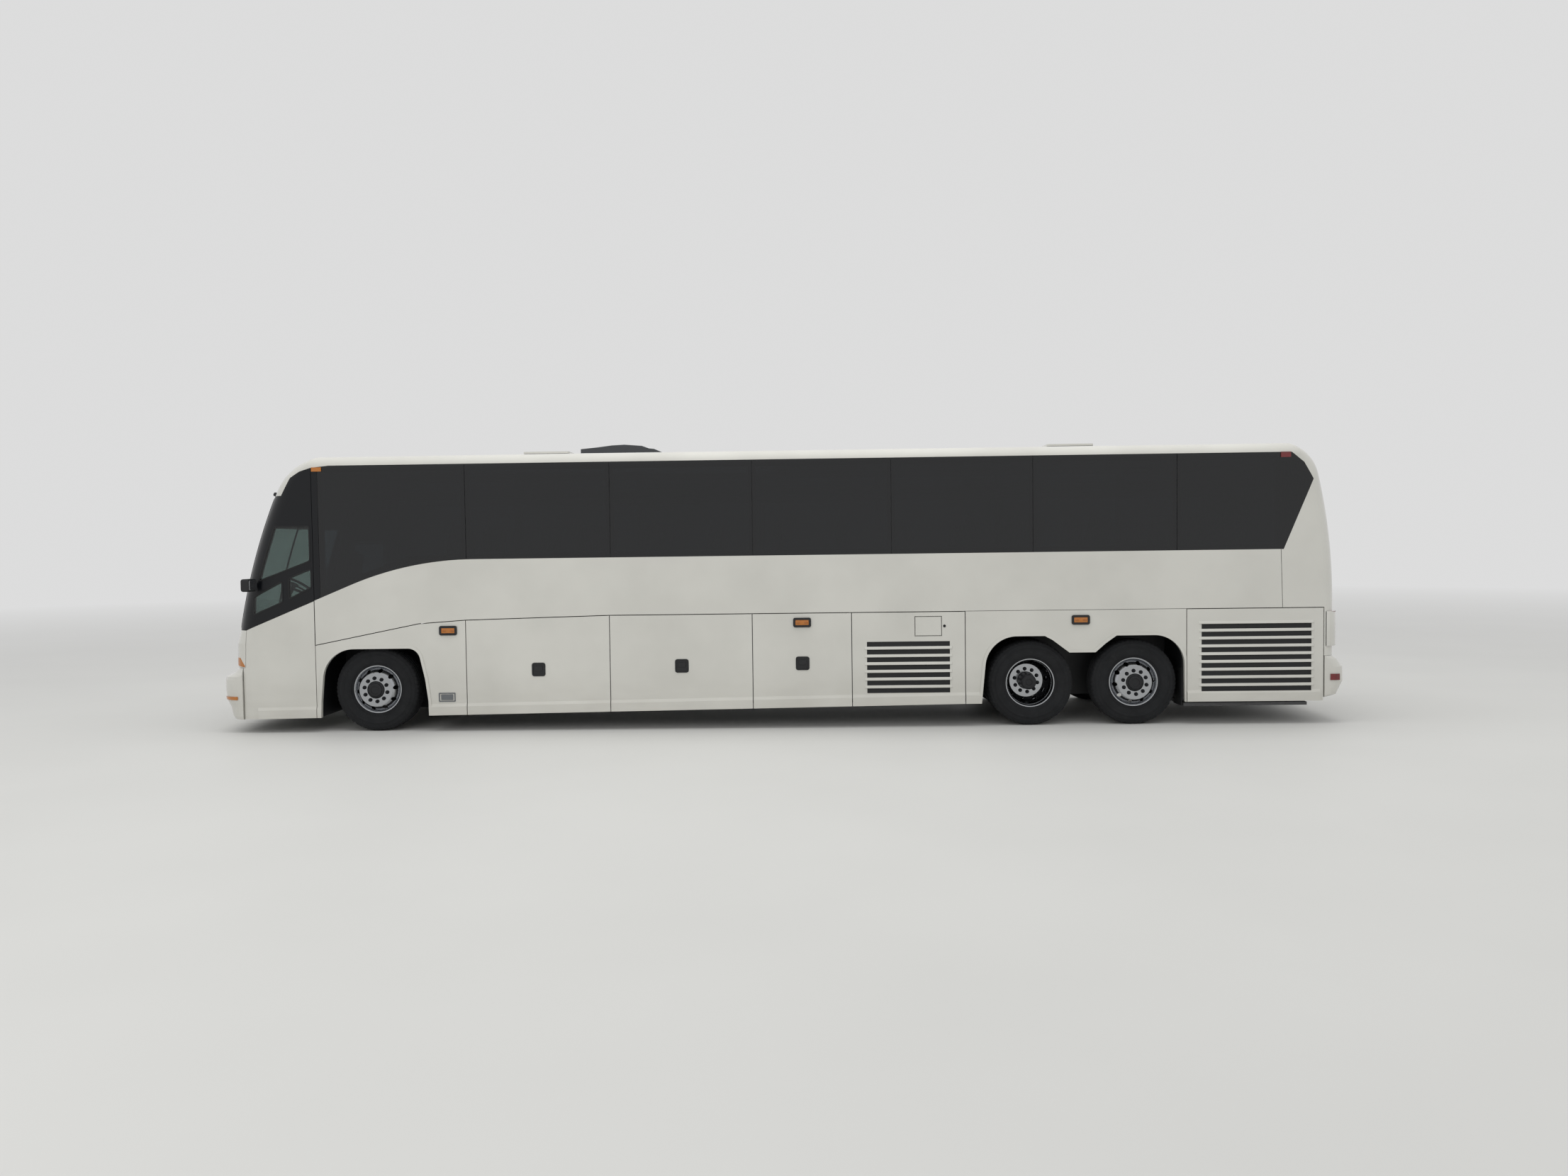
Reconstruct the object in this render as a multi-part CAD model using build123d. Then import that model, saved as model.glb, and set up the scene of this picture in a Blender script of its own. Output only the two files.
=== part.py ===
"""Three-axle touring coach, built as separate panels, doors, glass, wheels and running gear."""
from build123d import *
import math
import os

os.makedirs("parts", exist_ok=True)

# Overall sizes, mm. X runs from the nose to the tail, Y to the coach's right, Z up from the road.
LENGTH = 13840
WIDTH = 2590
FRONT_OVERHANG = 2035
REAR_OVERHANG = 2558
TAG_SPACING = 1247
ROOF_CROWN_Z = 3415
ROOF_EDGE_Z = 3367
ROOF_CORNER_R = 150
NOSE_PLAN_R = 6000
NOSE_CORNER_R = 250
TAIL_PLAN_R = 20000
TAIL_CORNER_R = 160

# Wall and panel thicknesses
WALL = 60
PANEL = 40
GLASS = 8
SCREEN_GLASS = 12
LAMP_DEPTH = 30
DOOR_GAP = 10
SEAT_GAP = 0.3
SEAM = 6

# Heights of the lines that run along the side
BELT_Z = 1400
BAND_LOW_Z = 2103
BAND_TOP_Z = 3262
SCREEN_LOW_Z = 1262
SCREEN_TOP_Z = 2905
SCREEN_HALF = 1130
FASCIA_LOW_Z = 805
SILL_FRONT_Z = 170
SILL_REAR_Z = 280

# Wheels and axles
TYRE_R = 515
TYRE_W = 300
RIM_R = 298
BEAD_R = 285.5
RIM_W = 240
BARREL_INNER_R = 270
WHEEL_INSET = 215
KINGPIN_INSET = 390
TWIN_SPACING = 340
SPINDLE_R = 45
DRIVE_SPINDLE_R = 60
RUN_CLEARANCE = 0.05
HAND_HOLES = 10
HAND_HOLE_R = 26
HAND_HOLE_RING_R = 238
HAND_HOLE_PHASE = 6
HUB_CAP_R = 105
DISC_T = 22
DISC_FLAT_R = 200

# Floors
DECK_Z = 1400
DECK_T = 60
CAB_FLOOR_Z = 1110
CAB_FLOOR_T = 40
BAY_FLOOR_Z = 300
BAY_FLOOR_T = 40
DECK_FRONT = -350
BULKHEAD_T = 60

# Seats
SEAT_PITCH = 800
SEAT_FIRST = 350
SEAT_DEPTH = 660
SEAT_W = 1000
CUSHION_H = 450
BACK_TOP = 1100

HALF_W = WIDTH / 2
NOSE_X = -LENGTH / 2
TAIL_X = LENGTH / 2
FRONT_X = NOSE_X + FRONT_OVERHANG
DOOR_FACE_Y = HALF_W - PANEL
INNER_Y = HALF_W - WALL
WHEEL_MID_Y = HALF_W - WHEEL_INSET
KINGPIN_Y = HALF_W - KINGPIN_INSET

# Stations along the side, measured back from the front hub. The rear follows the tag axle and the
# tail; the bays and the panes share out the length that is left between.
WHEELBASE = LENGTH - FRONT_OVERHANG - TAG_SPACING - REAR_OVERHANG
TAG_X = WHEELBASE + TAG_SPACING
TAIL = TAG_X + REAR_OVERHANG
CAP_SEAM = -1580
FENDER_SEAM = -722
BAY_START = 1135
BAY_END = WHEELBASE - 794
BAY_SHARES = [0, 0.2902, 0.5763, 0.7745]
BAY_SEAMS = [BAY_START + share * (BAY_END - BAY_START) for share in BAY_SHARES]
CONDENSER_SEAMS = [BAY_SEAMS[-1], BAY_END]
ENGINE_SEAMS = [TAG_X + 611, TAIL - 317]
PANE_START = 1163
PANE_END = TAIL - 850
PANE_SHARES = [0, 0.1799, 0.3562, 0.5273, 0.7007, 0.876, 1]
PANE_SEAMS = [-644] + [PANE_START + share * (PANE_END - PANE_START) for share in PANE_SHARES]
SILL_SLOPE_END = BAY_END
SEAT_ROWS = 1 + int((TAIL - 1100 - SEAT_DEPTH - SEAT_FIRST) / SEAT_PITCH)

# Slanted rear end of the black band, as (station, height)
REAR_BAND_LOW = TAIL - 797
REAR_BAND_END = [
    (REAR_BAND_LOW, BAND_LOW_Z), (TAIL - 445, 2941), (TAIL - 559, 3140), (TAIL - 705, BAND_TOP_Z)]
REAR_PAINT_X = TAIL - 815
TAIL_REGION = TAIL - 505
PAST_TAIL = TAIL + 395


def at(x):
    """Station x, measured back from the front hub, in the coach's own frame."""
    return FRONT_X + x


def box(x0, x1, y0, y1, z0, z1):
    """Block between two corners, with x measured back from the front hub."""
    return Pos(at((x0 + x1) / 2), (y0 + y1) / 2, (z0 + z1) / 2) * Box(abs(x1 - x0), abs(y1 - y0), z1 - z0)


def side_prism(points, y0, y1, radii=None):
    """Prism across the coach from an outline seen from the side: points are (station, height)."""
    outline = Polyline([(at(x), z) for x, z in points], close=True)
    face = make_face(outline.edges()).face()
    if radii:
        for (x, z), r in radii.items():
            corner = face.vertices().sort_by_distance((at(x), z, 0))[0]
            face = fillet([corner], r).face()
    solid = extrude(Plane.XZ * face, amount=-(y1 - y0))
    return Pos(0, y0, 0) * solid


def sill_z(x):
    """Lower edge of the side panels: it rises gently from the nose to the drive axle."""
    share = min(1.0, (x - CAP_SEAM) / (SILL_SLOPE_END - CAP_SEAM))
    return SILL_FRONT_Z + (SILL_REAR_Z - SILL_FRONT_Z) * share


# Body envelope: plan outline carried up the nose and tail profiles, cut by the roof section
def plan_face(front_x, half_w, front_r, corner_r, back_x):
    """Plan outline: a shallow nose arc, two corner arcs and straight sides, from front_x to back_x."""
    turn = math.asin((half_w - corner_r) / (front_r - corner_r))
    centre_x = front_x + front_r - (front_r - corner_r) * math.cos(turn)
    centre_y = half_w - corner_r
    arc_x = front_x + front_r * (1 - math.cos(turn))
    arc_y = front_r * math.sin(turn)
    mid = (math.pi / 2 + turn) / 2
    mid_x = centre_x - corner_r * math.cos(mid)
    mid_y = centre_y + corner_r * math.sin(mid)
    edges = [
        ThreePointArc((arc_x, -arc_y), (front_x, 0), (arc_x, arc_y)),
        ThreePointArc((arc_x, arc_y), (mid_x, mid_y), (centre_x, half_w)),
        Line((centre_x, half_w), (back_x, half_w)),
        Line((back_x, half_w), (back_x, -half_w)),
        Line((back_x, -half_w), (centre_x, -half_w)),
        ThreePointArc((centre_x, -half_w), (mid_x, -mid_y), (arc_x, -arc_y)),
    ]
    return make_face(edges).face()


def end_body(profile, inset, front_r, corner_r):
    """Body behind an end surface. The profile holds lines (2 points) and arcs (3 points) of
    (setback, height); the plan outline keeps its heading as it is carried along them."""
    start = profile[0][0]
    base = plan_face(inset + start[0], HALF_W - inset, front_r - inset, corner_r - inset, LENGTH)
    face = Pos(0, 0, start[1] - inset) * base
    edges = []
    for piece in profile:
        spots = [(setback + inset, 0, z - inset) for setback, z in piece]
        edges.append(Line(*spots).edge() if len(spots) == 2 else ThreePointArc(*spots).edge())
    return Solid.sweep(face, Wire(edges), mode=Vector(0, 0, 1))


NOSE_PROFILE = [
    [(165, 60), (165, 1100)],
    [(165, 1100), (212, SCREEN_LOW_Z)],
    [(212, SCREEN_LOW_Z), (408, 2111), (700, SCREEN_TOP_Z + 25)],
    [(700, SCREEN_TOP_Z + 25), (900, 3215), (1250, 3375)],
    [(1250, 3375), (1700, 3445)],
]
TAIL_PROFILE = [
    [(131, 60), (131, 1415)],
    [(131, 1415), (170, 2206), (300, 2974)],
    [(300, 2974), (440, 3245), (660, 3370)],
    [(660, 3370), (1200, 3440)],
]
NOSE_BUMPER_PROFILE = [
    [(110, 165), (80, 206)],
    [(80, 206), (56, 320)],
    [(56, 320), (14, 401)],
    [(14, 401), (0, 520)],
    [(0, 520), (0, 650)],
    [(0, 650), (10, 691)],
    [(10, 691), (115, 739)],
    [(115, 739), (180, FASCIA_LOW_Z - 5)],
]
TAIL_BUMPER_PROFILE = [
    [(187, 318), (81, 347)],
    [(81, 347), (35, 443)],
    [(35, 443), (0, 514)],
    [(0, 514), (7, 682)],
    [(7, 682), (72, 779)],
    [(72, 779), (131, 817)],
]


def nose_body(profile, inset):
    return Pos(NOSE_X, 0, 0) * end_body(profile, inset, NOSE_PLAN_R, NOSE_CORNER_R)


def tail_body(profile, inset):
    return Pos(TAIL_X, 0, 0) * mirror(end_body(profile, inset, TAIL_PLAN_R, TAIL_CORNER_R), about=Plane.YZ)


def section_body(inset):
    """Cross-section of the coach with its crowned roof and rounded roof edges, full length."""
    half = HALF_W - inset
    edge = ROOF_EDGE_Z - inset
    edges = [
        Line((-half, 0), (-half, edge)),
        ThreePointArc((-half, edge), (0, ROOF_CROWN_Z - inset), (half, edge)),
        Line((half, edge), (half, 0)),
        Line((half, 0), (-half, 0)),
    ]
    face = make_face(edges).face()
    shoulders = [v for v in face.vertices() if v.Y > edge / 2]
    face = fillet(shoulders, ROOF_CORNER_R - inset).face()
    return Pos(NOSE_X, 0, 0) * extrude(Plane.YZ * face, amount=LENGTH)


def envelope(inset):
    """Everything inside the coach's outer surface, moved in by inset."""
    return section_body(inset) & nose_body(NOSE_PROFILE, inset) & tail_body(TAIL_PROFILE, inset)


OUTER = envelope(0)
SHELL = OUTER - envelope(WALL)
PANEL_SKIN = OUTER - envelope(PANEL)
GLASS_SKIN = OUTER - envelope(GLASS)
SCREEN_SKIN = OUTER - envelope(SCREEN_GLASS)
REACH = HALF_W + 200

# Lines of the side view as (station, height)
BELT_LINE = [(FENDER_SEAM, 1072), (561, 1323), (BAY_SEAMS[0], 1361), (BAY_SEAMS[1], BELT_Z)]
BAND_KNEE = (460, BAND_LOW_Z)
BAND_KNEE_R = 4000
BAND_FRONT = (-1580, 1266)
BAND_TOP_FRONT = [(-500, BAND_TOP_Z), (-720, 3238), (-860, 3195), (-985, 3120), (-1100, SCREEN_TOP_Z)]
NOSE_CUT = -2200
ABOVE_ROOF = 3600


def band_low_z(x):
    """Lower edge of the black band where it rises in a straight line from the nose."""
    (x0, z0), (x1, z1) = BAND_FRONT, BAND_KNEE
    return z0 + (z1 - z0) * (x - x0) / (x1 - x0)


def band_prism(y0, y1):
    """Black glazed band seen from the side, with its sweep down to the nose."""
    points = [(NOSE_CUT, SCREEN_LOW_Z), BAND_FRONT, BAND_KNEE] + REAR_BAND_END + BAND_TOP_FRONT + [
        (NOSE_CUT, SCREEN_TOP_Z)]
    return side_prism(points, y0, y1, {BAND_KNEE: BAND_KNEE_R})


def rear_prism(y0, y1):
    """Region of the rear cap, from the slanted end of the black band to the tail."""
    points = [(REAR_BAND_END[-1][0], ABOVE_ROOF)] + REAR_BAND_END[::-1] + [
        (REAR_PAINT_X, BELT_Z + DOOR_GAP / 2),
        (ENGINE_SEAMS[1] + DOOR_GAP / 2, BELT_Z + DOOR_GAP / 2), (ENGINE_SEAMS[1] + DOOR_GAP / 2, 820),
        (PAST_TAIL, 820), (PAST_TAIL, ABOVE_ROOF)]
    return side_prism(points, y0, y1)


def roof_prism(y0, y1):
    rear_x = REAR_BAND_END[-1][0]
    points = [(NOSE_CUT, SCREEN_TOP_Z)] + BAND_TOP_FRONT[::-1] + [
        (rear_x, BAND_TOP_Z), (rear_x, ABOVE_ROOF), (NOSE_CUT, ABOVE_ROOF)]
    return side_prism(points, y0, y1)


def wall_prism(y0, y1):
    """Region of the side wall above the belt line, black band and painted belt together."""
    half_gap = DOOR_GAP / 2
    points = [
        (NOSE_CUT, SCREEN_LOW_Z), BAND_FRONT, (FENDER_SEAM, band_low_z(FENDER_SEAM))] + [
        (x, z + half_gap) for x, z in BELT_LINE] + [
        (REAR_PAINT_X, BELT_Z + half_gap)] + REAR_BAND_END + BAND_TOP_FRONT + [(NOSE_CUT, SCREEN_TOP_Z)]
    return side_prism(points, y0, y1)


# Driver's window: three clear panes as (station, height) corners
DRIVER_PANES = [
    [(-1185, 2530), (-757, 2530), (-757, 2106), (-1399, 1865), (-1320, 2124)],
    [(-1470, 1668), (-1109, 1857), (-1109, 1607), (-1470, 1452)],
    [(-1026, 1895), (-748, 2006), (-748, 1782), (-1026, 1645)],
]
FRONT_PANE = [(-590, 1770), (-590, 3180), (1110, 3180), (1110, 2165), (460, 2150)]
PANE_FRAME = 45
PANE_LOW_Z = 2165
PANE_TOP_Z = 3180


def window_openings(y0, y1):
    """Openings through the side wall behind each pane."""
    cuts = side_prism(FRONT_PANE, y0, y1)
    for x0, x1 in zip(PANE_SEAMS[1:-1], PANE_SEAMS[2:]):
        cuts += box(x0 + PANE_FRAME, x1 - PANE_FRAME, y0, y1, PANE_LOW_Z, PANE_TOP_Z)
    return cuts


def export(shape, name):
    export_step(shape, f"parts/{name}.step")


def many(solids):
    """Solids of one node that stay apart."""
    return Compound(children=[s for piece in solids for s in piece.solids()])


# Side walls, roof, caps and glass
wall_region = wall_prism(-REACH, REACH)
screen_cut = box(NOSE_CUT, -700, -SCREEN_HALF, SCREEN_HALF, SCREEN_LOW_Z, SCREEN_TOP_Z)
walls = (SHELL & wall_region) - screen_cut
band = band_prism(-REACH, REACH)
glazed = band & box(PANE_SEAMS[0], TAIL, -REACH, REACH, 0, ABOVE_ROOF)
walls -= GLASS_SKIN & glazed
walls -= box(FENDER_SEAM, FENDER_SEAM + SEAM, -REACH, REACH, 0, ABOVE_ROOF)
walls -= window_openings(-REACH, REACH)
driver_cut = side_prism(DRIVER_PANES[0], -REACH, -HALF_W + 300)
for pane in DRIVER_PANES[1:]:
    driver_cut += side_prism(pane, -REACH, -HALF_W + 300)
DOOR_X0 = CAP_SEAM + 5
DOOR_X1 = FENDER_SEAM
DOOR_TOP_Z = 2400
DOOR_LOW_Z = 215
DOOR_SLANT_Z = 1300
DOOR_SLANT_X = 280
DOOR_CUT = [(DOOR_X0, 0), (DOOR_X0, DOOR_SLANT_Z), (DOOR_X0 + DOOR_SLANT_X, DOOR_TOP_Z + DOOR_GAP),
            (DOOR_X1, DOOR_TOP_Z + DOOR_GAP), (DOOR_X1, 0)]
DOOR_OUTLINE = [(DOOR_X0 + DOOR_GAP, DOOR_LOW_Z), (DOOR_X0 + DOOR_GAP, DOOR_SLANT_Z),
                (DOOR_X0 + DOOR_SLANT_X + DOOR_GAP, DOOR_TOP_Z), (DOOR_X1 - DOOR_GAP, DOOR_TOP_Z),
                (DOOR_X1 - DOOR_GAP, DOOR_LOW_Z)]
DOOR_PANE = [(DOOR_X0 + 90, 1010), (DOOR_X0 + 90, DOOR_SLANT_Z),
             (DOOR_X0 + DOOR_SLANT_X + 70, DOOR_TOP_Z - 90),
             (DOOR_X1 - 100, DOOR_TOP_Z - 90), (DOOR_X1 - 100, 1010)]
JAMB = 40
JAMB_LOW_Z = DOOR_SLANT_Z + 150
JAMB_SLOPE = DOOR_SLANT_X / (DOOR_TOP_Z - JAMB - DOOR_SLANT_Z)
DOOR_THROAT = [(DOOR_X0, 0), (DOOR_X0, JAMB_LOW_Z),
               (DOOR_X0 + JAMB + JAMB_SLOPE * (JAMB_LOW_Z - DOOR_SLANT_Z), JAMB_LOW_Z),
               (DOOR_X0 + DOOR_SLANT_X + JAMB, DOOR_TOP_Z - JAMB),
               (DOOR_X1 - JAMB, DOOR_TOP_Z - JAMB), (DOOR_X1 - JAMB, 0)]
door_region = side_prism(DOOR_CUT, HALF_W - 160, REACH)
door_throat = side_prism(DOOR_THROAT, HALF_W - 160, REACH)
walls -= driver_cut
walls -= door_region & (OUTER - envelope(PANEL + SEAT_GAP))
walls -= door_throat
export(many(walls.solids()), "side_walls")

glass_layer = GLASS_SKIN & glazed
panes = []
for index, (x0, x1) in enumerate(zip(PANE_SEAMS[:-1], PANE_SEAMS[1:])):
    end = x1 if index < len(PANE_SEAMS) - 2 else TAIL
    panes += (glass_layer & box(x0 + SEAM / 2, end - SEAM / 2, -REACH, REACH, 0, ABOVE_ROOF)).solids()
export(many(panes), "side_glass")
export(many((GLASS_SKIN & driver_cut).solids()), "driver_window")
screen_slot = box(NOSE_CUT, 0, -SEAM / 2, SEAM / 2, SCREEN_LOW_Z, SCREEN_TOP_Z)
export(many(((SCREEN_SKIN & screen_cut) - screen_slot).solids()), "windshield")

HATCH_STATIONS = [1640, TAIL - 3405]
HATCH_L = 595
HATCH_W = 640
CURB = 30
CURB_TOP_Z = 3450
LID_T = 25
POD_HALF = 330
POD_ROUND = 12
POD_PROFILE = [(2394, ROOF_EDGE_Z), (2394, 3500), (2617, 3521), (2800, 3543), (2960, 3550), (3185, 3532),
               (3280, 3497), (3345, 3490), (3461, 3440), (3461, ROOF_EDGE_Z)]
roof = SHELL & roof_prism(-REACH, REACH)
for x in HATCH_STATIONS:
    curb = box(x + CURB, x + HATCH_L - CURB, -HATCH_W / 2 + CURB, HATCH_W / 2 - CURB, ROOF_EDGE_Z, CURB_TOP_Z)
    hole = box(x + 2 * CURB, x + HATCH_L - 2 * CURB, -HATCH_W / 2 + 2 * CURB, HATCH_W / 2 - 2 * CURB,
               BAND_TOP_Z - 60, ABOVE_ROOF)
    roof = roof + curb - hole
export(roof, "roof_shell")
for name, x in zip(["front", "rear"], HATCH_STATIONS):
    lid = box(x, x + HATCH_L, -HATCH_W / 2, HATCH_W / 2, CURB_TOP_Z + SEAT_GAP, CURB_TOP_Z + LID_T)
    export(fillet(lid.edges().filter_by(Axis.Z), 40), f"roof_hatch_{name}")
pod = side_prism(POD_PROFILE, -POD_HALF, POD_HALF) - OUTER
pod_rims = pod.edges().filter_by(lambda e: e.bounding_box().min.Z > 3430 and abs(e.center().Y) > POD_HALF - 1)
export(fillet(pod_rims, POD_ROUND), "roof_pod")

rear_region = rear_prism(-REACH, REACH)
ENGINE_DOOR_HALF = 850
ENGINE_DOOR_Z = (830, 1380)
engine_door_cut = box(TAIL_REGION, PAST_TAIL, -ENGINE_DOOR_HALF, ENGINE_DOOR_HALF, 800,
                      ENGINE_DOOR_Z[1] + DOOR_GAP)
TAIL_LAMP_Z = (936, 1350)
TAIL_LAMP_Y = 1060
tail_lamp_cut = many([box(TAIL - 245, PAST_TAIL, s * TAIL_LAMP_Y, s * REACH, *TAIL_LAMP_Z) for s in (-1, 1)])
engine_throat = box(TAIL_REGION, PAST_TAIL, -ENGINE_DOOR_HALF + JAMB, ENGINE_DOOR_HALF - JAMB, 800,
                    ENGINE_DOOR_Z[1] - 30)
door_recess = engine_door_cut & (OUTER - envelope(PANEL + SEAT_GAP))
rear_cap = (SHELL & rear_region) - door_recess - engine_throat - tail_lamp_cut
export(rear_cap, "rear_cap")
engine_door_region = box(TAIL_REGION, PAST_TAIL, -ENGINE_DOOR_HALF + DOOR_GAP,
                         ENGINE_DOOR_HALF - DOOR_GAP, *ENGINE_DOOR_Z)
export(PANEL_SKIN & engine_door_region, "engine_door")
TAIL_LAMP_PROUD = 37
lamp_outer = Pos(TAIL_LAMP_PROUD, 0, 0) * tail_body(TAIL_PROFILE, 0)
lamp_inner = tail_body(TAIL_PROFILE, PANEL)
tail_clusters = (lamp_outer - lamp_inner) & tail_lamp_cut & section_body(0)

front_region = side_prism([(NOSE_CUT, FASCIA_LOW_Z), (CAP_SEAM - 18, FASCIA_LOW_Z),
                           (CAP_SEAM, BAND_FRONT[1] - 4), (NOSE_CUT, SCREEN_LOW_Z)], -REACH, REACH)
HEADLAMP_Z = (820, 985)
HEADLAMP_Y = (640, 1200)
headlamp_cut = many([
    box(NOSE_CUT, -1400, s * HEADLAMP_Y[0], s * HEADLAMP_Y[1], *HEADLAMP_Z) for s in (-1, 1)])
export((SHELL & front_region) - headlamp_cut, "front_cap")
export(many(((OUTER - envelope(LAMP_DEPTH)) & headlamp_cut).solids()), "headlamps")

bumper_block = box(NOSE_CUT, -1640, -REACH, REACH, 0, FASCIA_LOW_Z - 5)
front_bumper = (nose_body(NOSE_BUMPER_PROFILE, 0) & bumper_block) - nose_body(
    [[(165, 60), (165, 1100)]], WALL)
export(front_bumper, "front_bumper")
rear_block = box(TAIL - 305, PAST_TAIL, -REACH, REACH, 0, 817)
rear_bumper = (tail_body(TAIL_BUMPER_PROFILE, 0) & rear_block) - tail_body([[(131, 60), (131, 1415)]], WALL)
export(rear_bumper, "rear_bumper")

# Fixed lower panels with the wheel arches
FRONT_ARCH = [(-674, 0), (-661, 379), (-599, 1022), (541, 1022), (625, 645), (660, 380), (668, 0)]
FRONT_ARCH_R = {(-599, 1022): 385, (541, 1022): 150}
TANDEM_ARCH = [
    (WHEELBASE - 610, 0), (WHEELBASE - 600, 280), (WHEELBASE - 520, 1092), (WHEELBASE + 160, 1092),
    (WHEELBASE + 255, 1041), (WHEELBASE + 455, 889), (TAG_X - 480, 889), (TAG_X - 355, 999),
    (TAG_X - 227, 1089), (TAG_X + 579, 1089), (TAG_X + 591, 250), (TAG_X + 591, 0)]
TANDEM_ARCH_R = {(WHEELBASE - 520, 1092): 380, (TAG_X + 579, 1089): 360}


def sill_points(x0, x1):
    return [(x0, sill_z(x0)), (x1, sill_z(x1))]


def panel_outline(x0, x1, top):
    """Outline of a lower panel between two stations, from the sloping sill to the points of top."""
    low = [(x1, sill_z(x1)), (x0, sill_z(x0))]
    if x0 < SILL_SLOPE_END < x1:
        low = [(x1, sill_z(x1)), (SILL_SLOPE_END, SILL_REAR_Z), (x0, sill_z(x0))]
    return top + low


gap = DOOR_GAP / 2
service_outline = [
    (CAP_SEAM + 5, band_low_z(CAP_SEAM + 5) - 5), (FENDER_SEAM - 4, band_low_z(FENDER_SEAM - 4) - 5),
    (FENDER_SEAM - 4, sill_z(FENDER_SEAM)), (-1630, sill_z(-1630)), (-1630, FASCIA_LOW_Z - 5),
    (CAP_SEAM - 13, FASCIA_LOW_Z)]
strip_outline = [(-1630, sill_z(-1630)), (-1630, FASCIA_LOW_Z), (DOOR_X0, FASCIA_LOW_Z),
                 (DOOR_X0, sill_z(DOOR_X0))]
fender_outline = panel_outline(FENDER_SEAM + 4, BAY_SEAMS[0] - gap, [
    (FENDER_SEAM + 4, 1068), (561, 1318), (BAY_SEAMS[0] - gap, 1356)])
tandem_outline = panel_outline(CONDENSER_SEAMS[1] + gap, ENGINE_SEAMS[0] - gap, [
    (CONDENSER_SEAMS[1] + gap, BELT_Z), (ENGINE_SEAMS[0] - gap, BELT_Z)])
ROCKER_PROUD = 12
ROCKER_END = TAIL - 355
ROCKER_H = 104
ROCKER_SLOPE_H = 36
LIP_W = 34
LIP_PROUD = 10


def rocker(x0, x1, side):
    """Raised foot of the side panels, with a sloped top edge that runs along with the sill."""
    x0, x1 = sorted((x0, x1))
    points = [(-5, 0), (ROCKER_PROUD, 0), (ROCKER_PROUD, ROCKER_H), (0, ROCKER_H + ROCKER_SLOPE_H),
              (-5, ROCKER_H + ROCKER_SLOPE_H)]
    bar = None
    turns = [x0] + [x for x in (SILL_SLOPE_END,) if x0 < x < x1] + [x1]
    for a, b in zip(turns[:-1], turns[1:]):
        foot = [(at(a), side * (HALF_W + y), sill_z(a) + z) for y, z in points]
        face = make_face(Polyline(foot, close=True).edges()).face()
        run = Vector(b - a, 0, sill_z(b) - sill_z(a))
        piece = extrude(face, amount=run.length, dir=run)
        bar = piece if bar is None else bar + piece
    return bar


def arch_lip(arch, radii, outline, side):
    """Flared edge around a wheel arch, kept inside its panel's outline."""
    y0, y1 = sorted((side * (HALF_W - 5), side * (HALF_W + LIP_PROUD)))
    opening = side_prism(arch, y0, y1, radii)
    edge = opening.faces().sort_by(Axis.Y)[0 if side > 0 else -1]
    ring = extrude(offset(edge, LIP_W), amount=LIP_PROUD + 5, dir=(0, side, 0))
    return (ring - opening) & side_prism(outline, y0 - 1, y1 + 1)


lower = []
for side in (-1, 1):
    near = (-REACH, 0) if side < 0 else (0, REACH)
    if side < 0:
        service = (PANEL_SKIN & side_prism(service_outline, *near)) + rocker(-1450, FENDER_SEAM - 4, side)
        lower += service.solids()
    else:
        lower += (PANEL_SKIN & side_prism(strip_outline, *near)).solids()
    for outline, arch, radii in ((fender_outline, FRONT_ARCH, FRONT_ARCH_R),
                                 (tandem_outline, TANDEM_ARCH, TANDEM_ARCH_R)):
        xs = [x for x, _ in outline]
        panel = (PANEL_SKIN & side_prism(outline, *near)) + rocker(min(xs), max(xs), side)
        panel -= side_prism(arch, *near, radii)
        panel += arch_lip(arch, radii, outline, side)
        lower += panel.solids()
export(many(lower), "lower_panels")


# Doors of the luggage bays, the condenser and the engine: flaps hinged along their top edges
def flap(x0, x1, side):
    near = (-REACH, 0) if side < 0 else (0, REACH)
    top = [(x0 + gap, belt_z(x0 + gap) - gap), (x1 - gap, belt_z(x1 - gap) - gap)]
    skin = PANEL_SKIN & side_prism(panel_outline(x0 + gap, x1 - gap, top), *near)
    return skin + rocker(x0 + gap, min(x1 - gap, ROCKER_END), side)


def belt_z(x):
    """Height of the seam above the lower doors."""
    if x >= BELT_LINE[-1][0]:
        return BELT_Z
    for (x0, z0), (x1, z1) in zip(BELT_LINE[:-1], BELT_LINE[1:]):
        if x <= x1:
            return z0 + (z1 - z0) * (x - x0) / (x1 - x0)


MARKER_LAMPS = [(921, 1236), (WHEELBASE + 591, 1282)]
DOOR_LAMP = (BAY_SEAMS[-1] - 599, 1287)
LAMP_T = 14
LAMP_HALF_L = 100
LAMP_HALF_H = 50
PAD_T = 4
PAD_EDGE = 20


def marker_lamp(x, z, side, thickness=LAMP_T, edge=0):
    """Side marker lamp, or with a smaller outline the flat pad that carries one, on the outer skin."""
    y0, y1 = sorted((side * HALF_W, side * (HALF_W + thickness)))
    half_l, half_h = LAMP_HALF_L - edge, LAMP_HALF_H - edge
    return box(x - half_l, x + half_l, y0, y1, z - half_h, z + half_h)


LOUVRE_PITCH = 94
LOUVRE_H = 60
LOUVRES = {
    "condenser": dict(front=182, back=186, z0=449, count=7, seams=CONDENSER_SEAMS),
    "engine_side": dict(front=177, back=145, z0=434, count=9, seams=ENGINE_SEAMS),
}
FILLER_BACK = 10
FILLER = dict(x0=BAY_END - 600, x1=BAY_END - 290, z0=1114, z1=1338)


def louvre_door(front, back, z0, count, seams, side):
    """Flap with a stack of long open slots, which start and end front and back of its seams."""
    door = flap(*seams, side)
    y0, y1 = sorted((side * (HALF_W - 100), side * REACH))
    for row in range(count):
        z = z0 + row * LOUVRE_PITCH
        door -= box(seams[0] + front, seams[1] - back, y0, y1, z - LOUVRE_H / 2, z + LOUVRE_H / 2)
    return door


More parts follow.
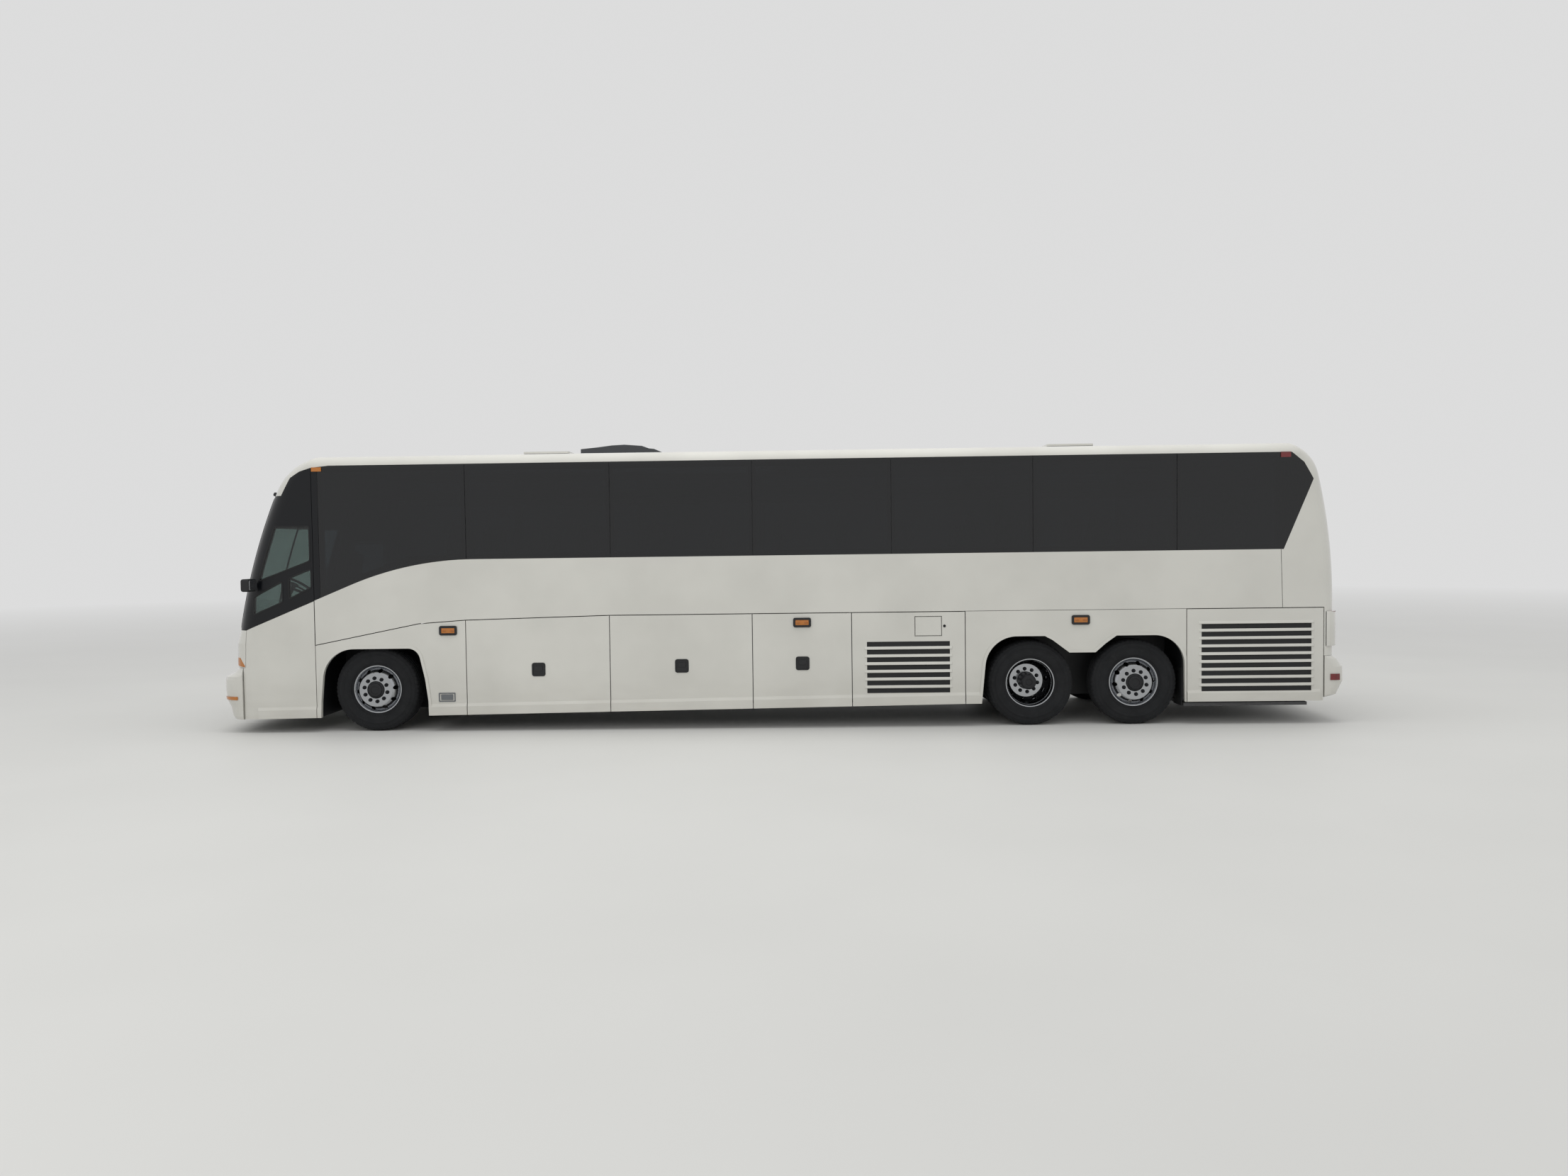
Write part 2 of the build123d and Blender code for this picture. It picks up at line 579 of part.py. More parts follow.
for side, label in ((-1, "left"), (1, "right")):
    for index, (x0, x1) in enumerate(zip(BAY_SEAMS[:-1], BAY_SEAMS[1:]), start=1):
        door = flap(x0, x1, side)
        if x0 < DOOR_LAMP[0] < x1:
            door += marker_lamp(*DOOR_LAMP, side, PAD_T, PAD_EDGE)
        export(door, f"bay_door_{label}_{index}")
    for name, spec in LOUVRES.items():
        door = louvre_door(side=side, **spec)
        if name == "condenser" and side < 0:
            door -= box(FILLER["x0"] - DOOR_GAP, FILLER["x1"] + DOOR_GAP, -REACH, -HALF_W + 100,
                        FILLER["z0"] - DOOR_GAP, FILLER["z1"] + DOOR_GAP)
            door += box(FILLER["x0"] - 30, FILLER["x1"] + 30, -DOOR_FACE_Y, -DOOR_FACE_Y + FILLER_BACK,
                        FILLER["z0"] - 30, FILLER["z1"] + 30)
        export(door, f"{name}_door_{label}")
filler_back_y = -HALF_W + PANEL - SEAT_GAP
filler_door = box(FILLER["x0"], FILLER["x1"], -HALF_W, filler_back_y, FILLER["z0"], FILLER["z1"])
export(filler_door, "filler_door")

# Entrance door ahead of the right front wheel
entrance = PANEL_SKIN & side_prism(DOOR_OUTLINE, HALF_W - 160, REACH)
door_glass_cut = side_prism(DOOR_PANE, HALF_W - 160, REACH)
export(entrance - door_glass_cut, "entrance_door")
export(GLASS_SKIN & door_glass_cut, "entrance_door_glass")

# Luggage floor, bulkheads and the rails of the underframe
bulkhead_y = DOOR_FACE_Y - SEAT_GAP
HALF_BULKHEAD = BULKHEAD_T / 2
BAY_FLOOR_TOP = BAY_FLOOR_Z + BAY_FLOOR_T
export(box(BAY_SEAMS[0] - HALF_BULKHEAD, BAY_END + HALF_BULKHEAD, -bulkhead_y, bulkhead_y,
           BAY_FLOOR_Z, BAY_FLOOR_TOP), "luggage_floor")
FRONT_RAIL_Y = (380, 480)
REAR_RAIL_Y = (455, 555)
RAIL_Z = (900, 1060)
CRADLE_Z = (320, 420)
TAIL_BULKHEAD_Y = 1225
FRONT_FRAME_X = (FENDER_SEAM - HALF_BULKHEAD, FENDER_SEAM + HALF_BULKHEAD)
ENGINE_FRAME_X = (ENGINE_SEAMS[0], ENGINE_SEAMS[0] + BULKHEAD_T)
TAIL_FRAME_X = (ENGINE_SEAMS[1] - BULKHEAD_T, ENGINE_SEAMS[1])
bulkheads = [
    box(*FRONT_FRAME_X, -INNER_Y + SEAT_GAP, FRONT_RAIL_Y[1], CRADLE_Z[0], CAB_FLOOR_Z),
    box(*ENGINE_FRAME_X, -bulkhead_y, bulkhead_y, BAY_FLOOR_Z, DECK_Z),
    box(*TAIL_FRAME_X, -TAIL_BULKHEAD_Y, TAIL_BULKHEAD_Y, BAY_FLOOR_Z, DECK_Z)]
for x in BAY_SEAMS + [BAY_END]:
    top = BELT_LINE[2][1] - 11 if x == BAY_START else DECK_Z
    bulkheads.append(box(x - HALF_BULKHEAD, x + HALF_BULKHEAD, -bulkhead_y, bulkhead_y, BAY_FLOOR_TOP, top))
ENGINE_BEARERS = [TAIL - 1655, TAIL - 855]
BEARER_W = 120
for x in ENGINE_BEARERS:
    bulkheads.append(box(x, x + BEARER_W, -REAR_RAIL_Y[0], REAR_RAIL_Y[0], *CRADLE_Z))
export(many(bulkheads), "bulkheads")

# Tow bores go through the front ends of the rails
TOW_X = -1700
TOW_R = 25
nose_limit = nose_body([NOSE_PROFILE[0]], WALL + SEAT_GAP)
tail_limit = tail_body([TAIL_PROFILE[0]], WALL + SEAT_GAP)
RAILS = [
    dict(x0=FRONT_FRAME_X[1], x1=BAY_SEAMS[0] - HALF_BULKHEAD, y=FRONT_RAIL_Y, z=RAIL_Z),
    dict(x0=BAY_END + HALF_BULKHEAD, x1=ENGINE_FRAME_X[0], y=REAR_RAIL_Y, z=RAIL_Z),
    dict(x0=ENGINE_FRAME_X[1], x1=TAIL_FRAME_X[0], y=REAR_RAIL_Y, z=CRADLE_Z),
    dict(x0=TAIL_FRAME_X[1], x1=TAIL, y=REAR_RAIL_Y, z=CRADLE_Z),
    dict(x0=NOSE_CUT, x1=FRONT_FRAME_X[0], y=FRONT_RAIL_Y, z=CRADLE_Z),
]
rails = []
for s in (-1, 1):
    tow_bore = Pos(at(TOW_X), s * sum(FRONT_RAIL_Y) / 2, sum(CRADLE_Z) / 2) * Cylinder(TOW_R, 200)
    for spec in RAILS:
        y_in, y_out = spec["y"]
        rail = box(spec["x0"], spec["x1"], s * y_in, s * y_out, *spec["z"])
        rails += ((rail & nose_limit & tail_limit) - tow_bore).solids()
export(many(rails), "underframe")

# Wheel wells
WELL_T = 10
AXLE_SLOT = 130
AXLE_SLOT_Z = (360, 660)
WELLS = [
    (-692, 688, FRONT_RAIL_Y[1], INNER_Y - SEAT_GAP, 185, 1100, [(0, *AXLE_SLOT_Z)]),
    (WHEELBASE - 628, TAG_X + 579, REAR_RAIL_Y[1], DOOR_FACE_Y - SEAT_GAP, 290, 1160,
     [(WHEELBASE, *AXLE_SLOT_Z), (TAG_X, *AXLE_SLOT_Z)]),
]
wells = []
for s in (-1, 1):
    for x0, x1, y_in, y_out, z_low, z_top, axles in WELLS:
        outer = box(x0, x1, s * y_in, s * y_out, z_low, z_top)
        inner = box(x0 + WELL_T, x1 - WELL_T, s * (y_in + WELL_T), s * REACH, 0, z_top - WELL_T)
        well = outer - inner
        for x, low, high in axles:
            well -= box(x - AXLE_SLOT, x + AXLE_SLOT, s * (y_in - 5), s * (y_in + WELL_T + 5), low, high)
        wells += well.solids()
export(many(wells), "wheel_wells")

# Floors and the entrance steps
deck = box(DECK_FRONT, TAIL - 385, -INNER_Y + SEAT_GAP, INNER_Y - SEAT_GAP, DECK_Z, DECK_Z + DECK_T)
export(deck, "cabin_floor")
cab = box(-1500, DECK_FRONT + 60, -INNER_Y + SEAT_GAP, 380, CAB_FLOOR_Z, CAB_FLOOR_Z + CAB_FLOOR_T)
riser = box(DECK_FRONT, DECK_FRONT + 60, -INNER_Y + SEAT_GAP, INNER_Y - SEAT_GAP, CAB_FLOOR_Z, DECK_Z)
STEP_LOW_Z = 320
floor = cab + riser
STEP_COUNT = 4
STEP_RISE = (CAB_FLOOR_Z + CAB_FLOOR_T - STEP_LOW_Z) / (STEP_COUNT + 1)
STEP_RUN = 200
for step in range(STEP_COUNT):
    z = STEP_LOW_Z + (step + 1) * STEP_RISE
    y0 = 380 + (STEP_COUNT - 1 - step) * STEP_RUN
    floor += box(-1500, -800, y0, y0 + STEP_RUN + 10, z - 40, z)
    floor += box(-1500, -800, y0 - 10, y0 + 20, z - 40, z + STEP_RISE)
floor += box(-820, -780, 370, INNER_Y - SEAT_GAP, CRADLE_Z[1] + 5, CAB_FLOOR_Z + CAB_FLOOR_T)
floor += box(-800, DECK_FRONT + 60, 370, INNER_Y - SEAT_GAP, CAB_FLOOR_Z, CAB_FLOOR_Z + CAB_FLOOR_T)
floor += box(DECK_FRONT - 280, DECK_FRONT, -300, 300, CAB_FLOOR_Z, DECK_Z - 90)
export(floor, "cab_floor")

# Seats, racks and the driver's place
SEAT_PROFILE = [
    (0, 0), (0, CUSHION_H), (450, CUSHION_H - 40), (560, BACK_TOP), (SEAT_DEPTH, BACK_TOP - 20),
    (560, 330), (300, 300), (300, 0)]
seats = []
for row in range(SEAT_ROWS):
    x = SEAT_FIRST + row * SEAT_PITCH
    for side in (-1, 1):
        y0, y1 = sorted((side * (INNER_Y - 20), side * (INNER_Y - 20 - SEAT_W)))
        outline = [(x + dx, DECK_Z + DECK_T + dz) for dx, dz in SEAT_PROFILE]
        seats += side_prism(outline, y0, y1).solids()
export(many(seats), "passenger_seats")
RACK_Z = 2830
RACK_END = TAIL - 905
racks = []
for side in (-1, 1):
    y_wall = side * (INNER_Y - SEAT_GAP)
    racks += (box(0, RACK_END, y_wall, side * 760, RACK_Z, RACK_Z + 30)
              + box(0, RACK_END, side * 760, side * 790, RACK_Z, RACK_Z + 130)).solids()
export(many(racks), "parcel_racks")
driver_outline = [(-1050 + dx * 0.95, CAB_FLOOR_Z + CAB_FLOOR_T + dz) for dx, dz in SEAT_PROFILE]
export(side_prism(driver_outline, -1000, -480), "driver_seat")
DASH_TOP_Z = 1440
dash = box(-1630, -1330, -1080, 330, 1290, DASH_TOP_Z)
dash += box(-1500, -1420, -1080, 330, CAB_FLOOR_Z + CAB_FLOOR_T, DASH_TOP_Z)
export(dash, "dashboard")
WHEEL_TILT = 30
wheel_plane = Plane(origin=(at(-1210), -740, 1800), z_dir=(math.sin(math.radians(WHEEL_TILT)), 0,
                                                            math.cos(math.radians(WHEEL_TILT))))
column = Cylinder(25, 520, align=(Align.CENTER, Align.CENTER, Align.MAX))
steering = Torus(225, 16) + Cylinder(45, 30) + Box(440, 30, 14) + column
export(wheel_plane.location * steering - dash, "steering_wheel")

# Engine, as one plain block, over the tray that hangs below the rails
ENGINE_X = (TAIL - 1805, TAIL - 555)
TRAY_X = (TAG_X + 620, TAIL - 452)
TRAY_Z = (208, 247)
tray = box(*TRAY_X, -1150, 1150, *TRAY_Z)
tray += box(ENGINE_FRAME_X[1] + SEAM, TRAY_X[1], -REAR_RAIL_Y[1], REAR_RAIL_Y[1], TRAY_Z[1], CRADLE_Z[0])
engine = box(*ENGINE_X, -430, 430, CRADLE_Z[1], 1220)
export(many([engine, tray]), "engine")

# Mirrors, wipers and small lamps
MIRROR_ROUND = 30
MIRRORS = [
    dict(arm=[(-1560, -1180), (-1480, -1180), (-1440, -1400), (-1490, -1400)], arm_z=(1790, 1850),
         head=(-1500, -1392, -1560, -1340), head_z=(1745, 1900)),
    dict(arm=[(-1850, 1380), (-1800, 1440), (-1480, 1160), (-1520, 1080)], arm_z=(1930, 1980),
         head=(-1900, -1790, 1320, 1560), head_z=(1560, 2040)),
]
mirrors = []
for spec in MIRRORS:
    outline = make_face(Polyline([(at(x), y) for x, y in spec["arm"]], close=True).edges()).face()
    z0, z1 = spec["arm_z"]
    arm = Pos(0, 0, z0) * extrude(outline, amount=z1 - z0) - OUTER
    head = box(*spec["head"], *spec["head_z"])
    mirrors += (arm + fillet(head.edges(), MIRROR_ROUND)).solids()
export(many(mirrors), "mirrors")

EDGE_LAMP_T = 12
lamp_skin = envelope(-EDGE_LAMP_T) - envelope(-SEAT_GAP)
bumper_skin = nose_body(NOSE_BUMPER_PROFILE, -EDGE_LAMP_T) - nose_body(NOSE_BUMPER_PROFILE, -SEAT_GAP)
AMBER_SPOTS = [
    (-707, -588, 1100, 1400, 3192, 3242),
    (-1600, -850, 780, 880, 3180, 3215),
    (-1600, -850, 150, 250, 3180, 3215),
]
amber = []
for s in (-1, 1):
    for spot in MARKER_LAMPS:
        amber += marker_lamp(*spot, s).solids()
    for x0, x1, y0, y1, z0, z1 in AMBER_SPOTS:
        amber += (lamp_skin & box(x0, x1, s * y0, s * y1, z0, z1)).solids()
    amber += (bumper_skin & box(NOSE_CUT, -1700, s * 1180, s * REACH, 409, 449)).solids()
amber += (lamp_skin & box(-1600, -850, -50, 50, 3180, 3215)).solids()
export(many(amber), "marker_lamps")
RED_SPOTS = [(TAIL - 838, TAIL - 721, 1100, REACH, 3199, 3263)]
tail_skin = tail_body(TAIL_BUMPER_PROFILE, -EDGE_LAMP_T) - tail_body(TAIL_BUMPER_PROFILE, -SEAT_GAP)
red = tail_clusters.solids()
for s in (-1, 1):
    for x0, x1, y0, y1, z0, z1 in RED_SPOTS:
        red += (lamp_skin & box(x0, x1, s * y0, s * y1, z0, z1)).solids()
    red += (tail_skin & box(TAIL - 237, TAIL - 121, s * 1180, s * REACH, 525, 600)).solids()
export(many(red), "tail_lamps")


# Axles and knuckles
def axle_cylinder(x, y0, y1, r, z=TYRE_R):
    """Cylinder along Y between two widths."""
    return Pos(at(x), (y0 + y1) / 2, z) * Rot(90, 0, 0) * Cylinder(r, abs(y1 - y0))


KINGPIN_R = 25
EYE_R = 55
EYE_HALF = 80
BEAM_Z = (380, 480)
beam = box(-50, 50, -KINGPIN_Y + 130, KINGPIN_Y - 130, *BEAM_Z)
for s in (-1, 1):
    beam += Pos(at(0), s * KINGPIN_Y, TYRE_R) * Cylinder(EYE_R, 2 * EYE_HALF)
    beam += box(-50, 50, s * (KINGPIN_Y - 170), s * (KINGPIN_Y - 30), TYRE_R - EYE_HALF, TYRE_R + EYE_HALF)
    beam -= Pos(at(0), s * KINGPIN_Y, TYRE_R) * Cylinder(KINGPIN_R + RUN_CLEARANCE, 400)
    beam += box(-80, 80, s * 330, s * 480, BEAM_Z[1], BEAM_Z[1] + 40)
export(beam, "front_axle")
for side, label in ((-1, "left"), (1, "right")):
    y = side * KINGPIN_Y
    knuckle = Pos(at(0), y, TYRE_R) * Cylinder(KINGPIN_R, 2 * EYE_HALF + 80)
    for s in (-1, 1):
        z0, z1 = sorted((TYRE_R + s * (EYE_HALF + 5), TYRE_R + s * (EYE_HALF + 45)))
        knuckle += Pos(at(0), y, (z0 + z1) / 2) * Cylinder(EYE_R, z1 - z0)
        knuckle += box(-50, 50, y, y + side * 110, z0, z1)
    knuckle += box(-50, 50, y + side * 62, y + side * 110, TYRE_R - EYE_HALF - 45, TYRE_R + EYE_HALF + 45)
    knuckle += axle_cylinder(0, y + side * 100, side * (WHEEL_MID_Y + 60), SPINDLE_R)
    knuckle += axle_cylinder(0, y + side * 75, y + side * 110, 190)
    export(knuckle, f"knuckle_{label}")

drive_axle = axle_cylinder(WHEELBASE, -(WHEEL_MID_Y - 10), WHEEL_MID_Y - 10, DRIVE_SPINDLE_R)
drive_axle += axle_cylinder(WHEELBASE, -(WHEEL_MID_Y - 520), WHEEL_MID_Y - 520, 85)
drive_axle += Pos(at(WHEELBASE), 0, TYRE_R) * Sphere(200)
tag_axle = axle_cylinder(TAG_X, -(WHEEL_MID_Y + 60), WHEEL_MID_Y + 60, SPINDLE_R)
tag_axle += axle_cylinder(TAG_X, -(WHEEL_MID_Y - 200), WHEEL_MID_Y - 200, 75)
export(many([drive_axle, tag_axle]), "rear_axles")

# Air springs between the axles and the rails
SPRING_R = 50
SPRING_SPOTS = [
    (0, 430, BEAM_Z[1] + 40),
    (WHEELBASE, 505, TYRE_R + 85),
    (TAG_X, 505, TYRE_R + 75),
]
springs = []
for s in (-1, 1):
    for x, y, z0 in SPRING_SPOTS:
        springs += (Pos(at(x), s * y, (z0 + RAIL_Z[0]) / 2) * Cylinder(SPRING_R, RAIL_Z[0] - z0)).solids()
export(many(springs), "air_springs")


# Wheels
def revolve_profile(points):
    """Body of revolution about Y from (y, radius) points; y grows outboard."""
    face = make_face(Polyline([(r, y) for y, r in points], close=True).edges()).face()
    return revolve(face, Axis.Y)


def rim(disc_y, edge_y, bore_r, hub=None):
    """Rim with a dished disc from edge_y in the barrel to its face at disc_y, hand holes and maybe a
    hub, given as its inner end, the end of its blind bore and its outer end."""
    half = RIM_W / 2
    foot = BARREL_INNER_R + 5
    barrel = revolve_profile([
        (-half, BARREL_INNER_R), (half, BARREL_INNER_R), (half, RIM_R), (half - 14, RIM_R),
        (half - 14, BEAD_R - 0.2), (-half + 14, BEAD_R - 0.2), (-half + 14, RIM_R), (-half, RIM_R)])
    disc = revolve_profile([
        (disc_y, bore_r), (disc_y, DISC_FLAT_R), (edge_y, foot),
        (edge_y - DISC_T, foot), (disc_y - DISC_T, DISC_FLAT_R), (disc_y - DISC_T, bore_r)])
    wheel = barrel + disc
    if hub:
        hub_in, bore_end, hub_out = hub
        wheel += revolve_profile([
            (hub_in, bore_r), (bore_end, bore_r), (bore_end, 0), (hub_out, 0),
            (hub_out, HUB_CAP_R - 15), (hub_out - 15, HUB_CAP_R), (hub_in, HUB_CAP_R)])
    for index in range(HAND_HOLES):
        angle = math.radians(HAND_HOLE_PHASE + 360 * index / HAND_HOLES)
        x, z = HAND_HOLE_RING_R * math.cos(angle), HAND_HOLE_RING_R * math.sin(angle)
        wheel -= Pos(x, (disc_y + edge_y - DISC_T) / 2, z) * Rot(90, 0, 0) * Cylinder(HAND_HOLE_R, 140)
    return wheel


def tyre():
    """Plain tyre; its beads stand just off the rim's flanges."""
    half = TYRE_W / 2
    seat = RIM_W / 2 - 14
    lip = RIM_R + SEAT_GAP
    flank = [(seat, lip), (seat + 18, lip), (half - 14, 340), (half, 410), (half - 6, 470), (half - 22, 508),
             (half - 42, TYRE_R)]
    other = [(-y, r) for y, r in flank[::-1]]
    return revolve_profile([(-seat, BEAD_R), (seat, BEAD_R)] + flank + other)


TWIN_FACE = -TWIN_SPACING / 2 + DISC_T
TWIN_EDGE = -90
TWIN_HUB = (-TWIN_SPACING / 2 - 120, 0, 70)
SINGLE = dict(disc_y=182, edge_y=100, bore_r=SPINDLE_R + RUN_CLEARANCE, hub=(-50, 70, 212))
TWIN_OUTER = dict(disc_y=TWIN_FACE, edge_y=TWIN_EDGE, bore_r=DRIVE_SPINDLE_R + RUN_CLEARANCE, hub=TWIN_HUB)
TWIN_INNER = dict(disc_y=TWIN_FACE, edge_y=TWIN_EDGE, bore_r=HUB_CAP_R - 5)
for side, label in ((-1, "left"), (1, "right")):
    outward = Rot(0, 0, 180) if side < 0 else Rot(0, 0, 0)
    inward = Rot(0, 0, 0) if side < 0 else Rot(0, 0, 180)
    for name, x in (("front", 0), ("tag", TAG_X)):
        place = Pos(at(x), side * WHEEL_MID_Y, TYRE_R) * outward
        export(place * rim(**SINGLE), f"{name}_rim_{label}")
        export(place * tyre(), f"{name}_tyre_{label}")
    outer_place = Pos(at(WHEELBASE), side * WHEEL_MID_Y, TYRE_R) * outward
    inner_place = Pos(at(WHEELBASE), side * (WHEEL_MID_Y - TWIN_SPACING), TYRE_R) * inward
    twin = outer_place * rim(**TWIN_OUTER) + inner_place * rim(**TWIN_INNER)
    export(twin, f"drive_rims_{label}")
    export(many([outer_place * tyre(), inner_place * tyre()]), f"drive_tyres_{label}")
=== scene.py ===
import math

import bmesh
import bpy
import numpy as np
from mathutils import Matrix


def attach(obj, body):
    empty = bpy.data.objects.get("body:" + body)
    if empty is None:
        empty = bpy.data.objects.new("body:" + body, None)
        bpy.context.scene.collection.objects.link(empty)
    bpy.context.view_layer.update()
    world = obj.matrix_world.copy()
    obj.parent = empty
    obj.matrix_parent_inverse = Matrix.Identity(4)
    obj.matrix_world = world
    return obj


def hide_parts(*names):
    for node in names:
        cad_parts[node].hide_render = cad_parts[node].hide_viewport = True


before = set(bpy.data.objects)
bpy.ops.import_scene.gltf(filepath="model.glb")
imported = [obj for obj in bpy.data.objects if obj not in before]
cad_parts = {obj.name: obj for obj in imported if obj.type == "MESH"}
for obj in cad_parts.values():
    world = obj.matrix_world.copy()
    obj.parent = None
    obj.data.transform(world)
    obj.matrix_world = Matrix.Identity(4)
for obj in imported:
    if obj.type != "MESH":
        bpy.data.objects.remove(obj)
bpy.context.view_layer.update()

# Driving sizes
FRONT_X = -4885.0
NOSE_X = -6920.0
TAIL_X = 6920.0
HALF_W = 1295.0
TYRE_R = 515.0
WHEEL_Y = 1080.0
TWIN = 340.0
DRIVE_AXLE = 8000.0
TAG_AXLE = 9247.0
CABIN_FLOOR = 1460.0
CAB_FLOOR = 1150.0
SIDES = (("left", -1), ("right", 1))

# Right, up and outward axes of a shape that is set into the scene
UPWARD = ((1, 0, 0), (0, 1, 0), (0, 0, 1))
DOWNWARD = ((1, 0, 0), (0, -1, 0), (0, 0, -1))
AHEAD = ((0, -1, 0), (0, 0, 1), (-1, 0, 0))
ASTERN = ((0, 1, 0), (0, 0, 1), (1, 0, 0))
ACROSS = ((0, 0, 1), (1, 0, 0), (0, 1, 0))
SEATED = ((0, 1, 0), (1, 0, 0), (0, 0, 1))


def outboard(side):
    """Axes of a shape that faces away from the coach on one side: left is -1, right is 1."""
    return (-side, 0, 0), (0, 0, 1), (0, side, 0)


# Meshes from arrays
def quads(nu, nv, wrap_u=False, wrap_v=False):
    """Four point numbers for each cell of an nu by nv grid, which may close on itself either way."""
    rows, columns = np.arange(nu if wrap_u else nu - 1), np.arange(nv if wrap_v else nv - 1)
    a, b = (grid.ravel() for grid in np.meshgrid(rows, columns, indexing="ij"))
    c, d = (a + 1) % nu, (b + 1) % nv
    return np.stack([a * nv + b, c * nv + b, c * nv + d, a * nv + d], axis=1).tolist()


def sheet(points, wrap_u=False, wrap_v=False, cap_u=False):
    """Shape over a grid of points; cap_u closes its first and last rows with one face each."""
    nu, nv = points.shape[:2]
    faces = quads(nu, nv, wrap_u, wrap_v)
    if cap_u:
        faces += [list(range(nv)), list(range((nu - 1) * nv, nu * nv))]
    return points.reshape(-1, 3), faces


def plate_round(rows):
    """Closed plate from rows that go round its edge: one face closes each of its two open ends."""
    rows = np.array(rows)
    points, faces = sheet(rows, wrap_u=True)
    turns, count = rows.shape[:2]
    return points, faces + [[k * count + end for k in range(turns)] for end in (0, count - 1)]


def joined(shapes):
    """Several shapes as one: their points in a row, their faces moved on by the points before them."""
    spots, faces, count = [], [], 0
    for points, cells in shapes:
        spots.append(points)
        faces += [[i + count for i in cell] for cell in cells]
        count += len(points)
    return np.concatenate(spots), faces


def set_at(shape, origin, axes=UPWARD):
    """Local (a, b, c) goes to origin + a right + b up + c out."""
    points, faces = shape
    return np.asarray(origin, float) + points @ np.array(axes, float), faces


def rounded_outline(w, h, r, steps=6):
    """Rectangle w by h with quarter circles of radius r at its corners, as points in a ring."""
    turn = np.linspace(0, np.pi / 2, steps + 1)
    rings = []
    for k, (right, up) in enumerate(((1, 1), (-1, 1), (-1, -1), (1, -1))):
        a = turn + k * np.pi / 2
        rings.append(np.stack([right * (w / 2 - r) + r * np.cos(a), up * (h / 2 - r) + r * np.sin(a)], axis=1))
    return np.concatenate(rings)


def levelled(ring, level):
    """Flat ring of points at one level of the third axis."""
    return np.column_stack([ring, np.full(len(ring), float(level))])


def slab(w, h, d, r, edge, low=0.0, steps=5):
    """Plate from depth low to d with corner radius r; its front edge is a quarter circle of radius edge:
    the outline shrinks by edge (1 - cos t) as the depth grows by edge sin t."""
    turn = np.linspace(0, np.pi / 2, steps)
    shrink = np.concatenate([[0], edge * (1 - np.cos(turn))])
    depth = np.concatenate([[low], d - edge + edge * np.sin(turn)])
    rows = [levelled(rounded_outline(w - 2 * s, h - 2 * s, max(r - s, 0.3)), level)
            for s, level in zip(shrink, depth)]
    return sheet(np.array(rows), wrap_v=True, cap_u=True)


def frame_ring(w, h, r, width, low, high):
    """Flat frame: outer and inner rounded outlines joined by their faces, its outer edge eased by 1 mm."""
    outer = rounded_outline(w, h, r)
    inner = rounded_outline(w - 2 * width, h - 2 * width, max(r - width, 1.0))
    rows = [levelled(outer, low), levelled(outer, high - 1), levelled(outer * 0.985, high),
            levelled(inner, high), levelled(inner, low)]
    return sheet(np.array(rows), wrap_u=True, wrap_v=True)


def turned(profile, count=96, closed=True):
    """Profile of (along, radius) points carried round the local third axis: (r cos t, r sin t, along)."""
    along, r = np.asarray(profile, float).T[:, :, None]
    t = np.arange(count) * 2 * np.pi / count
    points = np.stack([r * np.cos(t), r * np.sin(t), np.repeat(along, count, 1)], axis=2)
    return sheet(points, wrap_u=closed, wrap_v=True, cap_u=not closed)


def dome_cap(r, height, count=20):
    """Low dome: radius r cos t at height times sin t."""
    t = np.linspace(0, np.pi / 2 - 0.02, 6)
    return turned(np.stack([height * np.sin(t), r * np.cos(t)], axis=1), count, closed=False)


def smooth_path(corners, count):
    """Catmull-Rom curve through the corners, sampled evenly: each span blends its four nearest corners."""
    c = np.asarray(corners, float)
    c = np.concatenate([[2 * c[0] - c[1]], c, [2 * c[-1] - c[-2]]])
    t = np.linspace(0, len(corners) - 1, count)
    k = np.minimum(t.astype(int), len(corners) - 2)
    f = (t - k)[:, None]
    a, b, d, e = c[k], c[k + 1], c[k + 2], c[k + 3]
    square, cube = 2 * a - 5 * b + 4 * d - e, 3 * b - a - 3 * d + e
    return 0.5 * (2 * b + (d - a) * f + square * f ** 2 + cube * f ** 3)


def even_loop(corners, r, count):
    """Closed path round the corners with each one cut by an arc-like curve of reach r, evenly sampled:
    between (corner - r) and (corner + r) the point is the quadratic blend of the two and the corner."""
    c = np.asarray(corners, float)
    t = np.linspace(0, 1, 7)[:, None]
    path = []
    for a, b, d in zip(np.roll(c, 1, 0), c, np.roll(c, -1, 0)):
        start = b + (a - b) / np.linalg.norm(a - b) * r
        end = b + (d - b) / np.linalg.norm(d - b) * r
        path.append((1 - t) ** 2 * start + 2 * t * (1 - t) * b + t ** 2 * end)
    path = np.concatenate(path + [path[0][:1]])
    run = np.concatenate([[0], np.cumsum(np.linalg.norm(np.diff(path, axis=0), axis=1))])
    at = np.linspace(0, run[-1], count, endpoint=False)
    return np.stack([np.interp(at, run, path[:, 0]), np.interp(at, run, path[:, 1])], axis=1)


def swept(section, path, up=(0, 0, 1), loop=False):
    """Section of (a, b) points carried along the path: a along side = tangent x up, b along
    side x tangent."""
    path = np.asarray(path, float)
    section = np.asarray(section, float)
    tangent = np.roll(path, -1, 0) - np.roll(path, 1, 0)
    if not loop:
        tangent[0], tangent[-1] = path[1] - path[0], path[-1] - path[-2]
    tangent /= np.linalg.norm(tangent, axis=1)[:, None]
    side = np.cross(tangent, np.asarray(up, float))
    side /= np.linalg.norm(side, axis=1)[:, None]
    high = np.cross(side, tangent)
    points = path[:, None] + section[None, :, :1] * side[:, None] + section[None, :, 1:] * high[:, None]
    return sheet(points, wrap_u=loop, wrap_v=True, cap_u=not loop)


def circle(r, count=12):
    """Ring of points (r cos t, r sin t)."""
    t = np.arange(count) * 2 * np.pi / count
    return np.stack([r * np.cos(t), r * np.sin(t)], axis=1)


